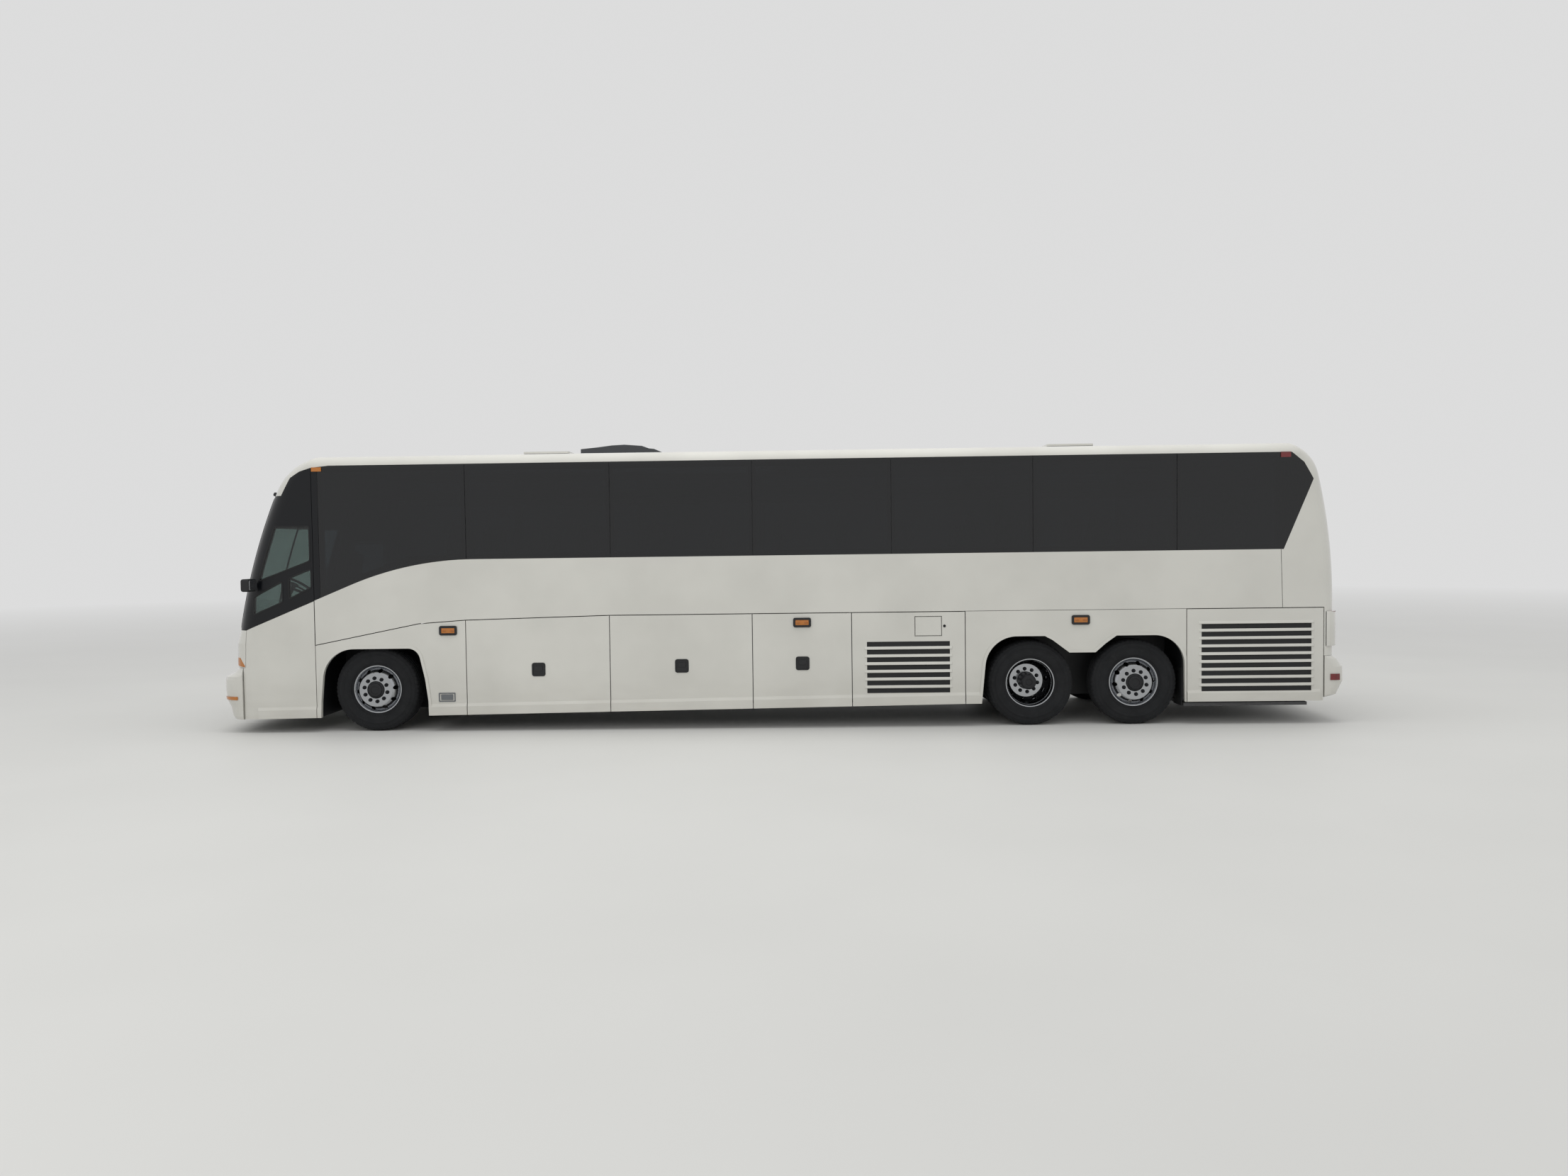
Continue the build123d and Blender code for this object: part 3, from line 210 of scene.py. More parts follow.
def piece(name, shape, finish, body="root", replaces=(), sharp=32.0):
    """Puts a shape given in mm into the scene as one piece on a body, with faces outwards."""
    points, faces = shape
    mesh = bpy.data.meshes.new(name)
    mesh.from_pydata((points * 0.001).tolist(), [], faces)
    work = bmesh.new()
    work.from_mesh(mesh)
    bmesh.ops.remove_doubles(work, verts=work.verts, dist=1e-5)
    bmesh.ops.recalc_face_normals(work, faces=work.faces)
    work.to_mesh(mesh)
    work.free()
    mesh.polygons.foreach_set("use_smooth", np.ones(len(mesh.polygons), bool))
    mesh.set_sharp_from_angle(angle=math.radians(sharp))
    mesh.materials.append(finish)
    thing = bpy.data.objects.new(name, mesh)
    bpy.context.scene.collection.objects.link(thing)
    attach(thing, body)
    if replaces:
        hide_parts(*replaces)
    return thing


def spot(x, y, z):
    """Frame place in mm of a station, a width and a height."""
    return np.array([FRONT_X + x, y, z], float)


def on_side(shape, x, z, side, proud=0.0):
    """Sets a shape on the flat side, or proud of it, with its depth pointing outboard."""
    return set_at(shape, spot(x, side * (HALF_W + proud), z), outboard(side))


# The nose and tail surfaces as x over (y, z), the same lines and arcs as the frame's
def arc_points(a, b, c, count=24):
    """Points of the circle through a, b and c, from a to c."""
    (ax, ay), (bx, by), (cx, cy) = a, b, c
    d = 2 * (ax * (by - cy) + bx * (cy - ay) + cx * (ay - by))
    aa, bb, cc = ax ** 2 + ay ** 2, bx ** 2 + by ** 2, cx ** 2 + cy ** 2
    ux = (aa * (by - cy) + bb * (cy - ay) + cc * (ay - by)) / d
    uy = (aa * (cx - bx) + bb * (ax - cx) + cc * (bx - ax)) / d
    t0, t1 = math.atan2(ay - uy, ax - ux), math.atan2(cy - uy, cx - ux)
    if t1 - t0 > math.pi:
        t1 -= 2 * math.pi
    if t0 - t1 > math.pi:
        t1 += 2 * math.pi
    t = np.linspace(t0, t1, count)
    r = math.hypot(ax - ux, ay - uy)
    return np.stack([ux + r * np.cos(t), uy + r * np.sin(t)], axis=1)


# Profiles as (setback, height), and the radii of the plan outline: wide arc, then corner
NOSE_LINE = np.concatenate([[(165, 60), (165, 1100)], arc_points((212, 1262), (408, 2111), (700, 2930)),
                            arc_points((700, 2930), (900, 3215), (1250, 3375))])
TAIL_LINE = np.concatenate([[(131, 60), (131, 1415)], arc_points((131, 1415), (170, 2206), (300, 2974)),
                            arc_points((300, 2974), (440, 3245), (660, 3370))])
BUMPER_LINE = np.array([(110, 165), (80, 206), (56, 320), (14, 401), (0, 520), (0, 650), (10, 691),
                        (115, 739), (180, 800)], float)
TAIL_BUMPER_LINE = np.array([(187, 318), (81, 347), (35, 443), (0, 514), (7, 682), (72, 779), (131, 817)], float)
NOSE_PLAN = (6000.0, 250.0)
TAIL_PLAN = (20000.0, 160.0)


def corner_setback(plan_r, r):
    """Setback of the middle of the corner circle: R - (R - r) cos t, with sin t = (half width - r) / (R - r)."""
    return plan_r - (plan_r - r) * math.cos(math.asin((HALF_W - r) / (plan_r - r)))


def plan_depth(y, plan_r, r):
    """Setback of the plan outline at width y: R - sqrt(R2 - y2), then a corner circle to the flat side."""
    y = np.minimum(np.abs(y), HALF_W - 0.5)
    shallow = plan_r - np.sqrt(plan_r ** 2 - y ** 2)
    past = np.maximum(y - (HALF_W - r), 0)
    corner = corner_setback(plan_r, r) - np.sqrt(np.maximum(r ** 2 - past ** 2, 0))
    return np.where(y < plan_r * (HALF_W - r) / (plan_r - r), shallow, corner)


def nose_x(y, z, out=0.0, line=NOSE_LINE):
    """Frame x of the nose at (y, z), moved out ahead of it."""
    return NOSE_X + np.interp(z, line[:, 1], line[:, 0]) + plan_depth(y, *NOSE_PLAN) - out


def tail_x(y, z, out=0.0, line=TAIL_LINE):
    """Frame x of the tail at (y, z), moved out behind it."""
    return TAIL_X - np.interp(z, line[:, 1], line[:, 0]) - plan_depth(y, *TAIL_PLAN) + out


def body_y(x, z):
    """Half width of the front corner at a frame x and height: the corner circle of the plan outline,
    carried back by the nose profile, or the flat side behind it."""
    plan_r, r = NOSE_PLAN
    middle = NOSE_X + np.interp(z, NOSE_LINE[:, 1], NOSE_LINE[:, 0]) + corner_setback(plan_r, r)
    ahead = np.clip(middle - np.asarray(x, float), 0, r - 1)
    return HALF_W - r + np.sqrt(r ** 2 - ahead ** 2)


def wrapped(outline, surface, out, back):
    """Plate over a nose or tail surface: outline of (y, z) points, from back to out ahead of the surface,
    with its front closed by rings that shrink to the middle."""
    outline = np.asarray(outline, float)
    middle = outline.mean(0)
    rows = []
    for share, depth in ((1, back), (1, out * 0.6), (0.985, out * 0.9), (0.96, out), (0.6, out), (0.25, out),
                         (0.02, out)):
        ring = middle + (outline - middle) * share
        rows.append(np.column_stack([surface(ring[:, 0], ring[:, 1], depth), ring]))
    return sheet(np.array(rows), wrap_v=True, cap_u=True)


# Finishes
def linear(code):
    """sRGB hex to linear RGBA: c / 12.92 below 0.04045, else ((c + 0.055) / 1.055) to the power 2.4."""
    c = np.array([int(code[i:i + 2], 16) for i in (1, 3, 5)]) / 255
    c = np.where(c <= 0.04045, c / 12.92, ((c + 0.055) / 1.055) ** 2.4)
    return (*c.tolist(), 1.0)


def add(tree, kind, inputs=None, **settings):
    """Adds a node with its settings; each input, by name or number, gets a link or a value."""
    made = tree.nodes.new(kind)
    for key, value in settings.items():
        setattr(made, key, value)
    for key, value in (inputs or {}).items():
        if isinstance(value, bpy.types.NodeSocket):
            tree.links.new(value, made.inputs[key])
        else:
            made.inputs[key].default_value = value
    return made


def spaced(words):
    """Socket names from keywords: an underscore stands for a space."""
    return {key.replace("_", " "): value for key, value in words.items()}


def surface(name, **sockets):
    """Material with one principled shader; gives it, its tree, the shader and object coordinates."""
    mat = bpy.data.materials.new(name)
    mat.use_nodes = True
    tree = mat.node_tree
    tree.nodes.clear()
    shader = add(tree, "ShaderNodeBsdfPrincipled", spaced(sockets))
    add(tree, "ShaderNodeOutputMaterial", {"Surface": shader.outputs[0]})
    place = add(tree, "ShaderNodeTexCoord").outputs["Object"]
    return mat, tree, shader, place


def feed(tree, shader, **sources):
    """Links the shader's sockets to their sources."""
    for key, source in spaced(sources).items():
        tree.links.new(source, shader.inputs[key])


def noise(tree, place, size_mm, detail=3.0, stretch=(1, 1, 1)):
    """Noise whose cells are about size_mm across; stretch makes them longer along an axis."""
    scale = [1000 / size_mm / s for s in stretch]
    mapped = add(tree, "ShaderNodeMapping", {"Vector": place, "Scale": scale}).outputs[0]
    return add(tree, "ShaderNodeTexNoise", {"Vector": mapped, "Scale": 1.0, "Detail": detail}).outputs["Fac"]


def cells(tree, place, pitch_mm, stray, output):
    """Cells at a real pitch, straying from an even grid by a share of it."""
    inputs = {"Vector": place, "Scale": 1000 / pitch_mm, "Randomness": stray}
    return add(tree, "ShaderNodeTexVoronoi", inputs).outputs[output]


def blend(tree, fac, low, high, start=0.0, end=1.0):
    """Colour or number between low and high as fac goes from start to end."""
    inputs = {"Value": fac, "From Min": start, "From Max": end}
    if isinstance(low, (int, float)):
        return add(tree, "ShaderNodeMapRange", {**inputs, "To Min": low, "To Max": high}).outputs[0]
    ramp = add(tree, "ShaderNodeMapRange", inputs).outputs[0]
    return add(tree, "ShaderNodeMix", {0: ramp, 6: low, 7: high}, data_type="RGBA").outputs[2]


def two_tone(tree, place, size_mm, base, other, detail=3.0):
    """Two close colours in soft clouds of size_mm."""
    return blend(tree, noise(tree, place, size_mm, detail), linear(base), linear(other), 0.3, 0.7)


def relief(tree, shader, height, depth_mm, strength=1.0, sockets=("Normal",)):
    """Bump of the given real depth into the shader's normal."""
    inputs = {"Height": height, "Strength": strength, "Distance": depth_mm * 0.001}
    bump = add(tree, "ShaderNodeBump", inputs).outputs[0]
    for socket in sockets:
        tree.links.new(bump, shader.inputs[socket])


WHITE = linear("#D3D2CB")
WHITE_SHADE = linear("#C9C8C1")
ROAD_FILM = linear("#A9A59A")
GLAZE = linear("#0C0E12")
# Lower edge of the black band, in metres: a rise from its front corner that eases into a level
BAND_FRONT_X = -6.465
BAND_FRONT_Z = 1.266
BAND_LEVEL_Z = 2.103
BAND_SLOPE = (BAND_LEVEL_Z - BAND_FRONT_Z) / 2.040
BAND_EASE = 0.155
BAND_END_X = 6.6


def band_mask(tree, x, z):
    """1 where the side is black: above the lower of the rising line and the level one, ahead of its end."""
    line = {0: x, 1: BAND_SLOPE, 2: BAND_FRONT_Z - BAND_SLOPE * BAND_FRONT_X}
    rise = add(tree, "ShaderNodeMath", line, operation="MULTIPLY_ADD").outputs[0]
    eased = {0: rise, 1: BAND_LEVEL_Z, 2: BAND_EASE}
    edge = add(tree, "ShaderNodeMath", eased, operation="SMOOTH_MIN").outputs[0]
    above = add(tree, "ShaderNodeMath", {0: z, 1: edge}, operation="GREATER_THAN").outputs[0]
    before_end = add(tree, "ShaderNodeMath", {0: x, 1: BAND_END_X}, operation="LESS_THAN").outputs[0]
    return add(tree, "ShaderNodeMath", {0: above, 1: before_end}, operation="MULTIPLY").outputs[0]


def coach_paint(name, band=False):
    """Two-coat polyurethane coach enamel, sprayed: an even white with a faint orange peel of some 8 mm,
    gloss from its clear coat, and a thin veil of road film that thickens to the sill. With band, the
    masked-off black of the window band, bounded by the same rising line as the glass."""
    mat, tree, shader, place = surface(name, Roughness=0.32, IOR=1.5, Coat_Weight=0.9, Coat_Roughness=0.05)
    axes = add(tree, "ShaderNodeSeparateXYZ", {"Vector": place}).outputs
    tone = blend(tree, noise(tree, place, 900), WHITE, WHITE_SHADE, 0.35, 0.75)
    low_down = blend(tree, axes["Z"], 0.55, 0.0, 0.15, 0.75)
    streaks = noise(tree, place, 140, 5, (3, 1, 1))
    film = add(tree, "ShaderNodeMath", {0: low_down, 1: streaks}, operation="MULTIPLY").outputs[0]
    colour = blend(tree, film, tone, ROAD_FILM)
    if band:
        inside = band_mask(tree, axes["X"], axes["Z"])
        colour = blend(tree, inside, colour, GLAZE)
        feed(tree, shader, Coat_Weight=blend(tree, inside, 0.9, 0.0),
             Specular_IOR_Level=blend(tree, inside, 0.5, 0.36))
    feed(tree, shader, Base_Color=colour)
    relief(tree, shader, noise(tree, place, 8), 0.02, 0.25, ("Normal", "Coat Normal"))
    return mat


def dark_glazing():
    """Privacy-tinted toughened glass: nearly black, very flat, with the slight long roll of the furnace in
    its reflections."""
    mat, tree, shader, place = surface("privacy_glass", Roughness=0.02, IOR=1.52, Transmission_Weight=0.9)
    feed(tree, shader, Base_Color=two_tone(tree, place, 1500, "#2A2F36", "#23282E"))
    relief(tree, shader, noise(tree, place, 420, 1, (1, 1, 2)), 0.35, 0.2)
    return mat


def clear_glazing(name, tint, deep):
    """Clear sheet or moulding with a tint and a faint long roll in its reflections; a light tint is the sheet's own,
    while a dark one also paints the shade of what is seen through it.
    """
    mat, tree, shader, place = surface(name, Roughness=0.0, IOR=1.52, Transmission_Weight=1.0)
    feed(tree, shader, Base_Color=two_tone(tree, place, 1200, tint, deep))
    relief(tree, shader, noise(tree, place, 500, 1), 0.2, 0.15)
    return mat


# Edges of the windscreen's fired black border, in metres from the middle and over the road
SCREEN_EDGES = (("GREATER_THAN", "side", 1.07), ("LESS_THAN", "side", 0.022), ("LESS_THAN", "height", 1.335),
                ("GREATER_THAN", "height", 2.52))


def windscreen():
    """Laminated screen: clear green-tinted glass inside a fired black border, deepest along the top."""
    mat, tree, shader, place = surface("laminated_screen", Roughness=0.0, IOR=1.52)
    axes = add(tree, "ShaderNodeSeparateXYZ", {"Vector": place}).outputs
    side = add(tree, "ShaderNodeMath", {0: axes["Y"]}, operation="ABSOLUTE").outputs[0]
    reach = {"side": side, "height": axes["Z"]}
    border = 0.0
    for test, way, edge in SCREEN_EDGES:
        strip = add(tree, "ShaderNodeMath", {0: reach[way], 1: edge}, operation=test).outputs[0]
        border = add(tree, "ShaderNodeMath", {0: border, 1: strip}, operation="MAXIMUM").outputs[0]
    glass = two_tone(tree, place, 900, "#C9DAD2", "#BCD0C7")
    clear = add(tree, "ShaderNodeMath", {0: 1.0, 1: border}, operation="SUBTRACT").outputs[0]
    feed(tree, shader, Base_Color=blend(tree, border, glass, GLAZE), Transmission_Weight=clear)
    relief(tree, shader, noise(tree, place, 500, 1), 0.2, 0.15)
    return mat


def grained(name, base, other, rough, grain_mm, depth_mm, worn=None, **extra):
    """Moulded or sprayed solid: two close tones in soft clouds, a fine even grain, and a roughness that
    drifts a little, as handling and dust leave it."""
    mat, tree, shader, place = surface(name, IOR=1.5, **extra)
    tone = two_tone(tree, place, 260, base, other, 4)
    if worn:
        tone = blend(tree, noise(tree, place, 60, 6), tone, linear(worn), 0.58, 0.78)
    drift = blend(tree, noise(tree, place, 120, 4), rough * 0.85, min(1.0, rough * 1.15))
    feed(tree, shader, Base_Color=tone, Roughness=drift)
    relief(tree, shader, noise(tree, place, grain_mm, 2), depth_mm, 0.6)
    return mat


def metal(name, base, other, rough, brush_mm=1.5, stretch=(1, 1, 1)):
    """Bare metal: a reflecting surface whose roughness and tone follow fine tool or polishing marks."""
    mat, tree, shader, place = surface(name, Metallic=1.0)
    marks = noise(tree, place, brush_mm, 4, stretch)
    feed(tree, shader, Base_Color=blend(tree, marks, linear(base), linear(other), 0.3, 0.7),
         Roughness=blend(tree, noise(tree, place, 45, 3), rough * 0.7, rough * 1.4))
    relief(tree, shader, marks, 0.01, 0.15)
    return mat


def lens(name, base, deep, rib_mm):
    """Injection-moulded acrylic lens: clear colour with fine vertical prisms on its inner face."""
    mat, tree, shader, place = surface(name, Roughness=0.06, IOR=1.49, Coat_Weight=0.6, Subsurface_Weight=0.15,
                                       Subsurface_Radius=(0.01, 0.004, 0.002))
    inputs = {"Vector": place, "Scale": 1000 / rib_mm / (2 * math.pi), "Distortion": 0.0}
    ribs = add(tree, "ShaderNodeTexWave", inputs, bands_direction="X").outputs["Fac"]
    feed(tree, shader, Base_Color=blend(tree, ribs, linear(base), linear(deep)))
    relief(tree, shader, ribs, 0.6, 0.5)
    return mat


def tail_lens():
    """One acrylic moulding in three colours: red over most of its height, an amber and a clear chamber
    between, each with round prisms of some 6 mm."""
    mat, tree, shader, place = surface("tail_lens", Roughness=0.07, IOR=1.49, Coat_Weight=0.7)
    z = add(tree, "ShaderNodeSeparateXYZ", {"Vector": place}).outputs["Z"]
    prisms = cells(tree, place, 6, 0.1, "Distance")
    colour = blend(tree, prisms, linear("#8E0B10"), linear("#5A0508"), 0.0, 0.6)
    for middle, chamber in ((1.148, "#C25A10"), (1.048, "#C9CCCC")):
        inside = add(tree, "ShaderNodeMath", {0: z, 1: middle, 2: 0.044}, operation="COMPARE").outputs[0]
        colour = blend(tree, inside, colour, linear(chamber))
    feed(tree, shader, Base_Color=colour)
    relief(tree, shader, prisms, 0.8, 0.5)
    return mat


def woven(name, base, other, thread_mm):
    """Plush moquette: short wool pile woven in a small check of thread_mm, with sheen at grazing angles."""
    mat, tree, shader, place = surface(name, Roughness=0.9, IOR=1.45, Sheen_Weight=0.35, Sheen_Roughness=0.4)
    checks = cells(tree, place, thread_mm, 0.5, "Color")
    fac = add(tree, "ShaderNodeSeparateColor", {"Color": checks}).outputs[0]
    feed(tree, shader, Base_Color=blend(tree, fac, linear(base), linear(other), 0.35, 0.65))
    relief(tree, shader, noise(tree, place, 3, 2), 0.6, 0.6)
    return mat


def louvre_shade_screen():
    """Woven black wire screen, 3 mm wires at 9 mm, drawn at that size; set behind the louvre slots, its near-black is
    painted shade that stands for the dark inside of the flaps.
    """
    mat, tree, shader, place = surface("wire_screen_painted_shade", Roughness=0.6, IOR=1.5)
    wires = cells(tree, place, 9, 0.0, "Distance")
    feed(tree, shader, Base_Color=blend(tree, wires, linear("#050506"), linear("#1D1E20"), 0.3, 0.5))
    relief(tree, shader, wires, 2.0, 1.0)
    return mat


PAINT = coach_paint("coach_enamel")
PAINT_BAND = coach_paint("coach_enamel_and_band", band=True)
# Glass: nearly black panes for the passengers, grey-green ones for the driver whose dark tint also paints the shade
# of the dim cab behind them, a clear tinted screen
DARK_GLASS = dark_glazing()
CAB_GLASS_WITH_PAINTED_SHADE = clear_glazing("driver_window_glass_painted_shade", "#6F7C7B", "#63706F")
SCREEN = windscreen()
# Moulded rubber, dull black: smooth seals, and a tyre compound dusted grey
RUBBER = grained("moulded_rubber_seal", "#101112", "#17181A", 0.62, 2.0, 0.05)
TYRE_RUBBER = grained("tyre_rubber", "#0D0E11", "#141619", 0.82, 3.0, 0.15, worn="#1F2021")
# Moulded plastics: grained satin black, a soft dark skin, a grey lining, a grey floor, a smoked gloss cover
BLACK_PLASTIC = grained("grained_abs", "#131416", "#1B1C1F", 0.45, 1.6, 0.08)
DASH = grained("soft_dash_skin", "#26282B", "#303236", 0.6, 2.5, 0.15)
LINING = grained("wall_lining", "#6B6C6D", "#77787A", 0.7, 2.0, 0.08)
FLOOR_VINYL = grained("floor_vinyl", "#3B3D40", "#4A4C50", 0.55, 2.5, 0.06)
DOME = grained("smoked_pod_plastic", "#2A2D30", "#34373B", 0.22, 12.0, 0.05, Coat_Weight=0.5)
# Sprayed enamels: satin black on the chassis, mid grey in the bays, pale grey on the blank plates
SATIN_BLACK = grained("chassis_enamel", "#0B0B0C", "#161616", 0.5, 5.0, 0.1, worn="#2B2723")
BAY_GREY = grained("grey_bay_paint", "#7D7F80", "#8A8C8C", 0.5, 9.0, 0.06, worn="#5E5C58")
PLATE = grained("blank_plate", "#C9CBC8", "#BFC1BE", 0.35, 4.0, 0.03)
# Castings with a coarse skin of 3 to 6 mm: painted dark on axles and hubs, oily grey on the engine
CAST = grained("cast_iron_painted", "#1A1B1C", "#26262A", 0.55, 4.0, 0.25, worn="#3A3430")
ENGINE_CAST = grained("engine_casting", "#4A4B4D", "#5C5C5E", 0.5, 6.0, 0.4, worn="#37322D")
HUB_GREY = grained("hub_casting", "#17181A", "#222326", 0.42, 3.0, 0.2, Metallic=0.3)
INLET_GREY = grained("grey_cast_box", "#5C6063", "#6A6E71", 0.5, 3.0, 0.1)
# Metals: polished wheels, dull coated nuts, mirror-bright bowls and glasses, brushed trim
WHEEL_ALLOY = metal("polished_forged_alloy", "#BABCBF", "#A2A4A8", 0.12, 0.8)
NUT_STEEL = metal("zinc_flake_steel", "#3A3B3E", "#28292B", 0.45, 2.0)
BRIGHT = metal("vacuum_metallised_reflector", "#E6E7E9", "#D6D7DA", 0.06, 3.0)
MIRROR = metal("mirror_glass_silver", "#EDEFF0", "#E3E6E8", 0.02, 40.0)
SATIN_ALLOY = metal("anodised_trim", "#A9ABAE", "#97999C", 0.35, 0.6, (30, 1, 1))
# Lamp covers: ribbed amber and red acrylic, a three-colour tail lens and clear polycarbonate
AMBER = lens("amber_acrylic", "#C47A22", "#A9621A", 2.5)
RED = lens("red_acrylic", "#9C0F14", "#6D070B", 5.0)
TAIL = tail_lens()
CLEAR_LENS = clear_glazing("polycarbonate_lens", "#E6EBEC", "#DDE3E5")
# Woven goods: a blue-grey check on the seats, and black wire behind the louvres whose near-black paints the shade
# inside the flaps
MOQUETTE = woven("seat_moquette", "#1F2638", "#3A4257", 14.0)
SLOT_SHADE_SCREEN = louvre_shade_screen()

# Finish of each node of the frame that stays as it is
dressed = {
    PAINT: ["lower_panels", "roof_shell", "front_cap", "rear_cap", "front_bumper", "rear_bumper", "engine_door",
            "entrance_door", "filler_door", "roof_hatch_front", "roof_hatch_rear"],
    PAINT_BAND: ["side_walls"],
    SCREEN: ["windshield"],
    CAB_GLASS_WITH_PAINTED_SHADE: ["driver_window", "entrance_door_glass"],
    DARK_GLASS: ["side_glass"],
    SATIN_BLACK: ["underframe"],
    BLACK_PLASTIC: ["wheel_wells", "mirrors"],
    FLOOR_VINYL: ["cabin_floor", "cab_floor", "luggage_floor"],
    DASH: ["dashboard", "steering_wheel"],
    LINING: ["parcel_racks"],
    ENGINE_CAST: ["engine"],
    CAST: ["front_axle", "rear_axles"],
    DOME: ["roof_pod"],
    BAY_GREY: ["bulkheads"],
    TAIL: ["tail_lamps"],
    RUBBER: ["air_springs"],
    MOQUETTE: ["driver_seat", "passenger_seats"],
    CLEAR_LENS: ["headlamps"],
    AMBER: ["marker_lamps"],
    WHEEL_ALLOY: [],
    TYRE_RUBBER: [],
}
for label, side in SIDES:
    dressed[PAINT] += [f"bay_door_{label}_{index}" for index in (1, 2, 3)]
    dressed[PAINT] += [f"condenser_door_{label}", f"engine_side_door_{label}"]
    dressed[CAST].append(f"knuckle_{label}")
    dressed[WHEEL_ALLOY] += [f"front_rim_{label}", f"tag_rim_{label}", f"drive_rims_{label}"]
    dressed[TYRE_RUBBER] += [f"front_tyre_{label}", f"tag_tyre_{label}", f"drive_tyres_{label}"]
for finish, names in dressed.items():
    for name in names:
        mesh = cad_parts[name].data
        mesh.materials.clear()
        mesh.materials.append(finish)

# Wheels
SIDE_WALL = [(108, 286), (121, 298.5), (131, 312), (134, 318), (137.5, 324), (142, 326), (143.5, 333),
             (141.5, 335), (144, 346), (147, 362), (149.5, 385), (149.8, 414), (152, 416), (151.6, 424),
             (149, 426), (147.5, 444), (144.5, 462), (146.5, 464), (145, 472), (142, 474), (138, 488),
             (133, 498), (126, 506), (117, 511)]
GROOVES = (84, 30)
GROOVE_HALF = 11
TREAD_PITCHES = 60


def tyre_shape():
    """Tyre about its own axis: a sidewall that bulges from the bead to the shoulder with three raised
    rings, and ribs parted by four grooves round the tread. Beyond |y| = 100 the radius drops by 9 mm in
    one column of four, which leaves the shoulder lugs, and within 70 by 2.5 mm in one of eight."""
    tread = [(106, 513.5)]
    for y in GROOVES:
        inner, outer = y - GROOVE_HALF, y + GROOVE_HALF
        tread += [(outer, 514.5), (outer - 2, 501), (inner + 2, 501), (inner, 514.8)]
    half_line = SIDE_WALL + tread + [(0, 515)]
    line = np.array(half_line + [(-y, r) for y, r in half_line[-2::-1]] + [(-108, 284), (108, 284)], float)
    y, r = line[:, :1], line[:, 1:]
    column = np.arange(TREAD_PITCHES * 4)[None, :]
    lugs = (np.abs(y) > 100) & (r > 484) & (column % 4 == 0)
    ribs = (np.abs(y) < 70) & (r > 505) & (column % 8 == 0)
    radius = r - 9.0 * lugs - 2.5 * ribs
    t = column * 2 * np.pi / column.size
    points = np.stack([radius * np.cos(t), radius * np.sin(t), np.repeat(y, column.size, 1)], axis=2)
    return sheet(points, wrap_u=True, wrap_v=True)


def holed_ring(r_in, r_out, ring_r, hole_r, count, phase, front, back):
    """Ring with round holes. Each sector is a patch between its hole and its border: along a ray from the
    hole's middle a point goes from the hole's circle to the border, in unrolled (arc, radius) lengths.
    front(r) and back(r) give its two faces, and short walls join them in the holes."""
    per_side, rings = 6, 5
    half = math.pi / count * ring_r
    low, high = r_in - ring_r, r_out - ring_r
    corners = np.array([(half, low), (half, high), (-half, high), (-half, low)])
    k = (np.arange(per_side) / per_side)[:, None]
    border = np.concatenate([a + (b - a) * k for a, b in zip(corners, np.roll(corners, -1, 0))])
    angle = np.arctan2(border[:, 1], border[:, 0])
    hole = hole_r * np.stack([np.cos(angle), np.sin(angle)], axis=1)
    share = np.linspace(0, 1, rings)[:, None, None] ** 1.4
    flat = hole + (border - hole) * share
    shapes = []
    for index in range(count):
        t = phase + 2 * math.pi * index / count + flat[..., 0] / ring_r
        r = ring_r + flat[..., 1]
        faces = [np.stack([r * np.cos(t), r * np.sin(t), level(r)], axis=2) for level in (front, back)]
        shapes += [sheet(face, wrap_v=True) for face in faces]
        shapes.append(sheet(np.stack([face[0] for face in faces]), wrap_v=True))
    return joined(shapes)


def barrel_shape():
    """Rim barrel: rolled lips at both flanges, bead seats and a drop centre, with an open inside."""
    outside = [(120, 290), (120, 294), (117, 298), (111, 298), (107, 294), (106, 285), (88, 283.5), (70, 276),
               (-70, 276), (-88, 283.5), (-106, 285), (-107, 294), (-111, 298), (-117, 298), (-120, 294),
               (-120, 290)]
    inside = [(-119, 284), (-108, 278), (-70, 269), (60, 267), (92, 270), (110, 277), (118, 283)]
    return turned(outside + inside, 120)


DISC_THICK = 20.0
NUT_FACE_R = 202.0
BARREL_R = 269.0
HAND_HOLE_RING = 234.0
HAND_HOLE_R = 25.0
HOLES = 10
NUT_RING = 143.0
HOLE_PHASE = math.radians(6)
NUT_PHASE = HOLE_PHASE + math.pi / HOLES


def disc_shape(face_y, edge_y):
    """Disc: a flat ring for the nuts out to r 202, then (face to edge) times s to the power 1.25 to the
    barrel, with ten hand holes."""
    def front(r):
        s = np.clip((r - NUT_FACE_R) / (BARREL_R - NUT_FACE_R), 0, 1)
        return face_y + (edge_y - face_y) * s ** 1.25

    def back(r):
        return front(r) - DISC_THICK

    holed = holed_ring(204, 269.5, HAND_HOLE_RING, HAND_HOLE_R, HOLES, HOLE_PHASE, front, back)
    back_y = face_y - DISC_THICK
    flat = turned([(face_y, 108), (face_y, 196), (face_y, 204), (back_y, 204), (back_y, 108)], 120)
    return joined([holed, flat])


def nut_shape():
    """Hexagon nut on a round flange with the stud's end in it, as rings of twelve points: on the hexagon's
    rings every other point stands nearer by cos 30."""
    t = np.arange(12) * np.pi / 6
    hexagon = np.where(np.arange(12) % 2 == 0, 1.0, math.cos(math.pi / 6))
    rows = []
    for y, r, six in ((0, 24, 0), (5, 24, 0), (6, 19.5, 1), (24, 19.5, 1), (27, 16.5, 1), (27, 11.5, 0),
                      (36, 11.5, 0), (37.5, 10, 0)):
        reach = r * hexagon if six else np.full(12, float(r))
        rows.append(levelled(np.stack([reach * np.cos(t), reach * np.sin(t)], axis=1), y))
    return sheet(np.array(rows), wrap_v=True, cap_u=True)


def nuts(face_y):
    """Ten nuts in a ring on the disc's face."""
    made = []
    for a in NUT_PHASE + 2 * np.pi * np.arange(HOLES) / HOLES:
        made.append(set_at(nut_shape(), (NUT_RING * math.cos(a), NUT_RING * math.sin(a), face_y)))
    return joined(made)


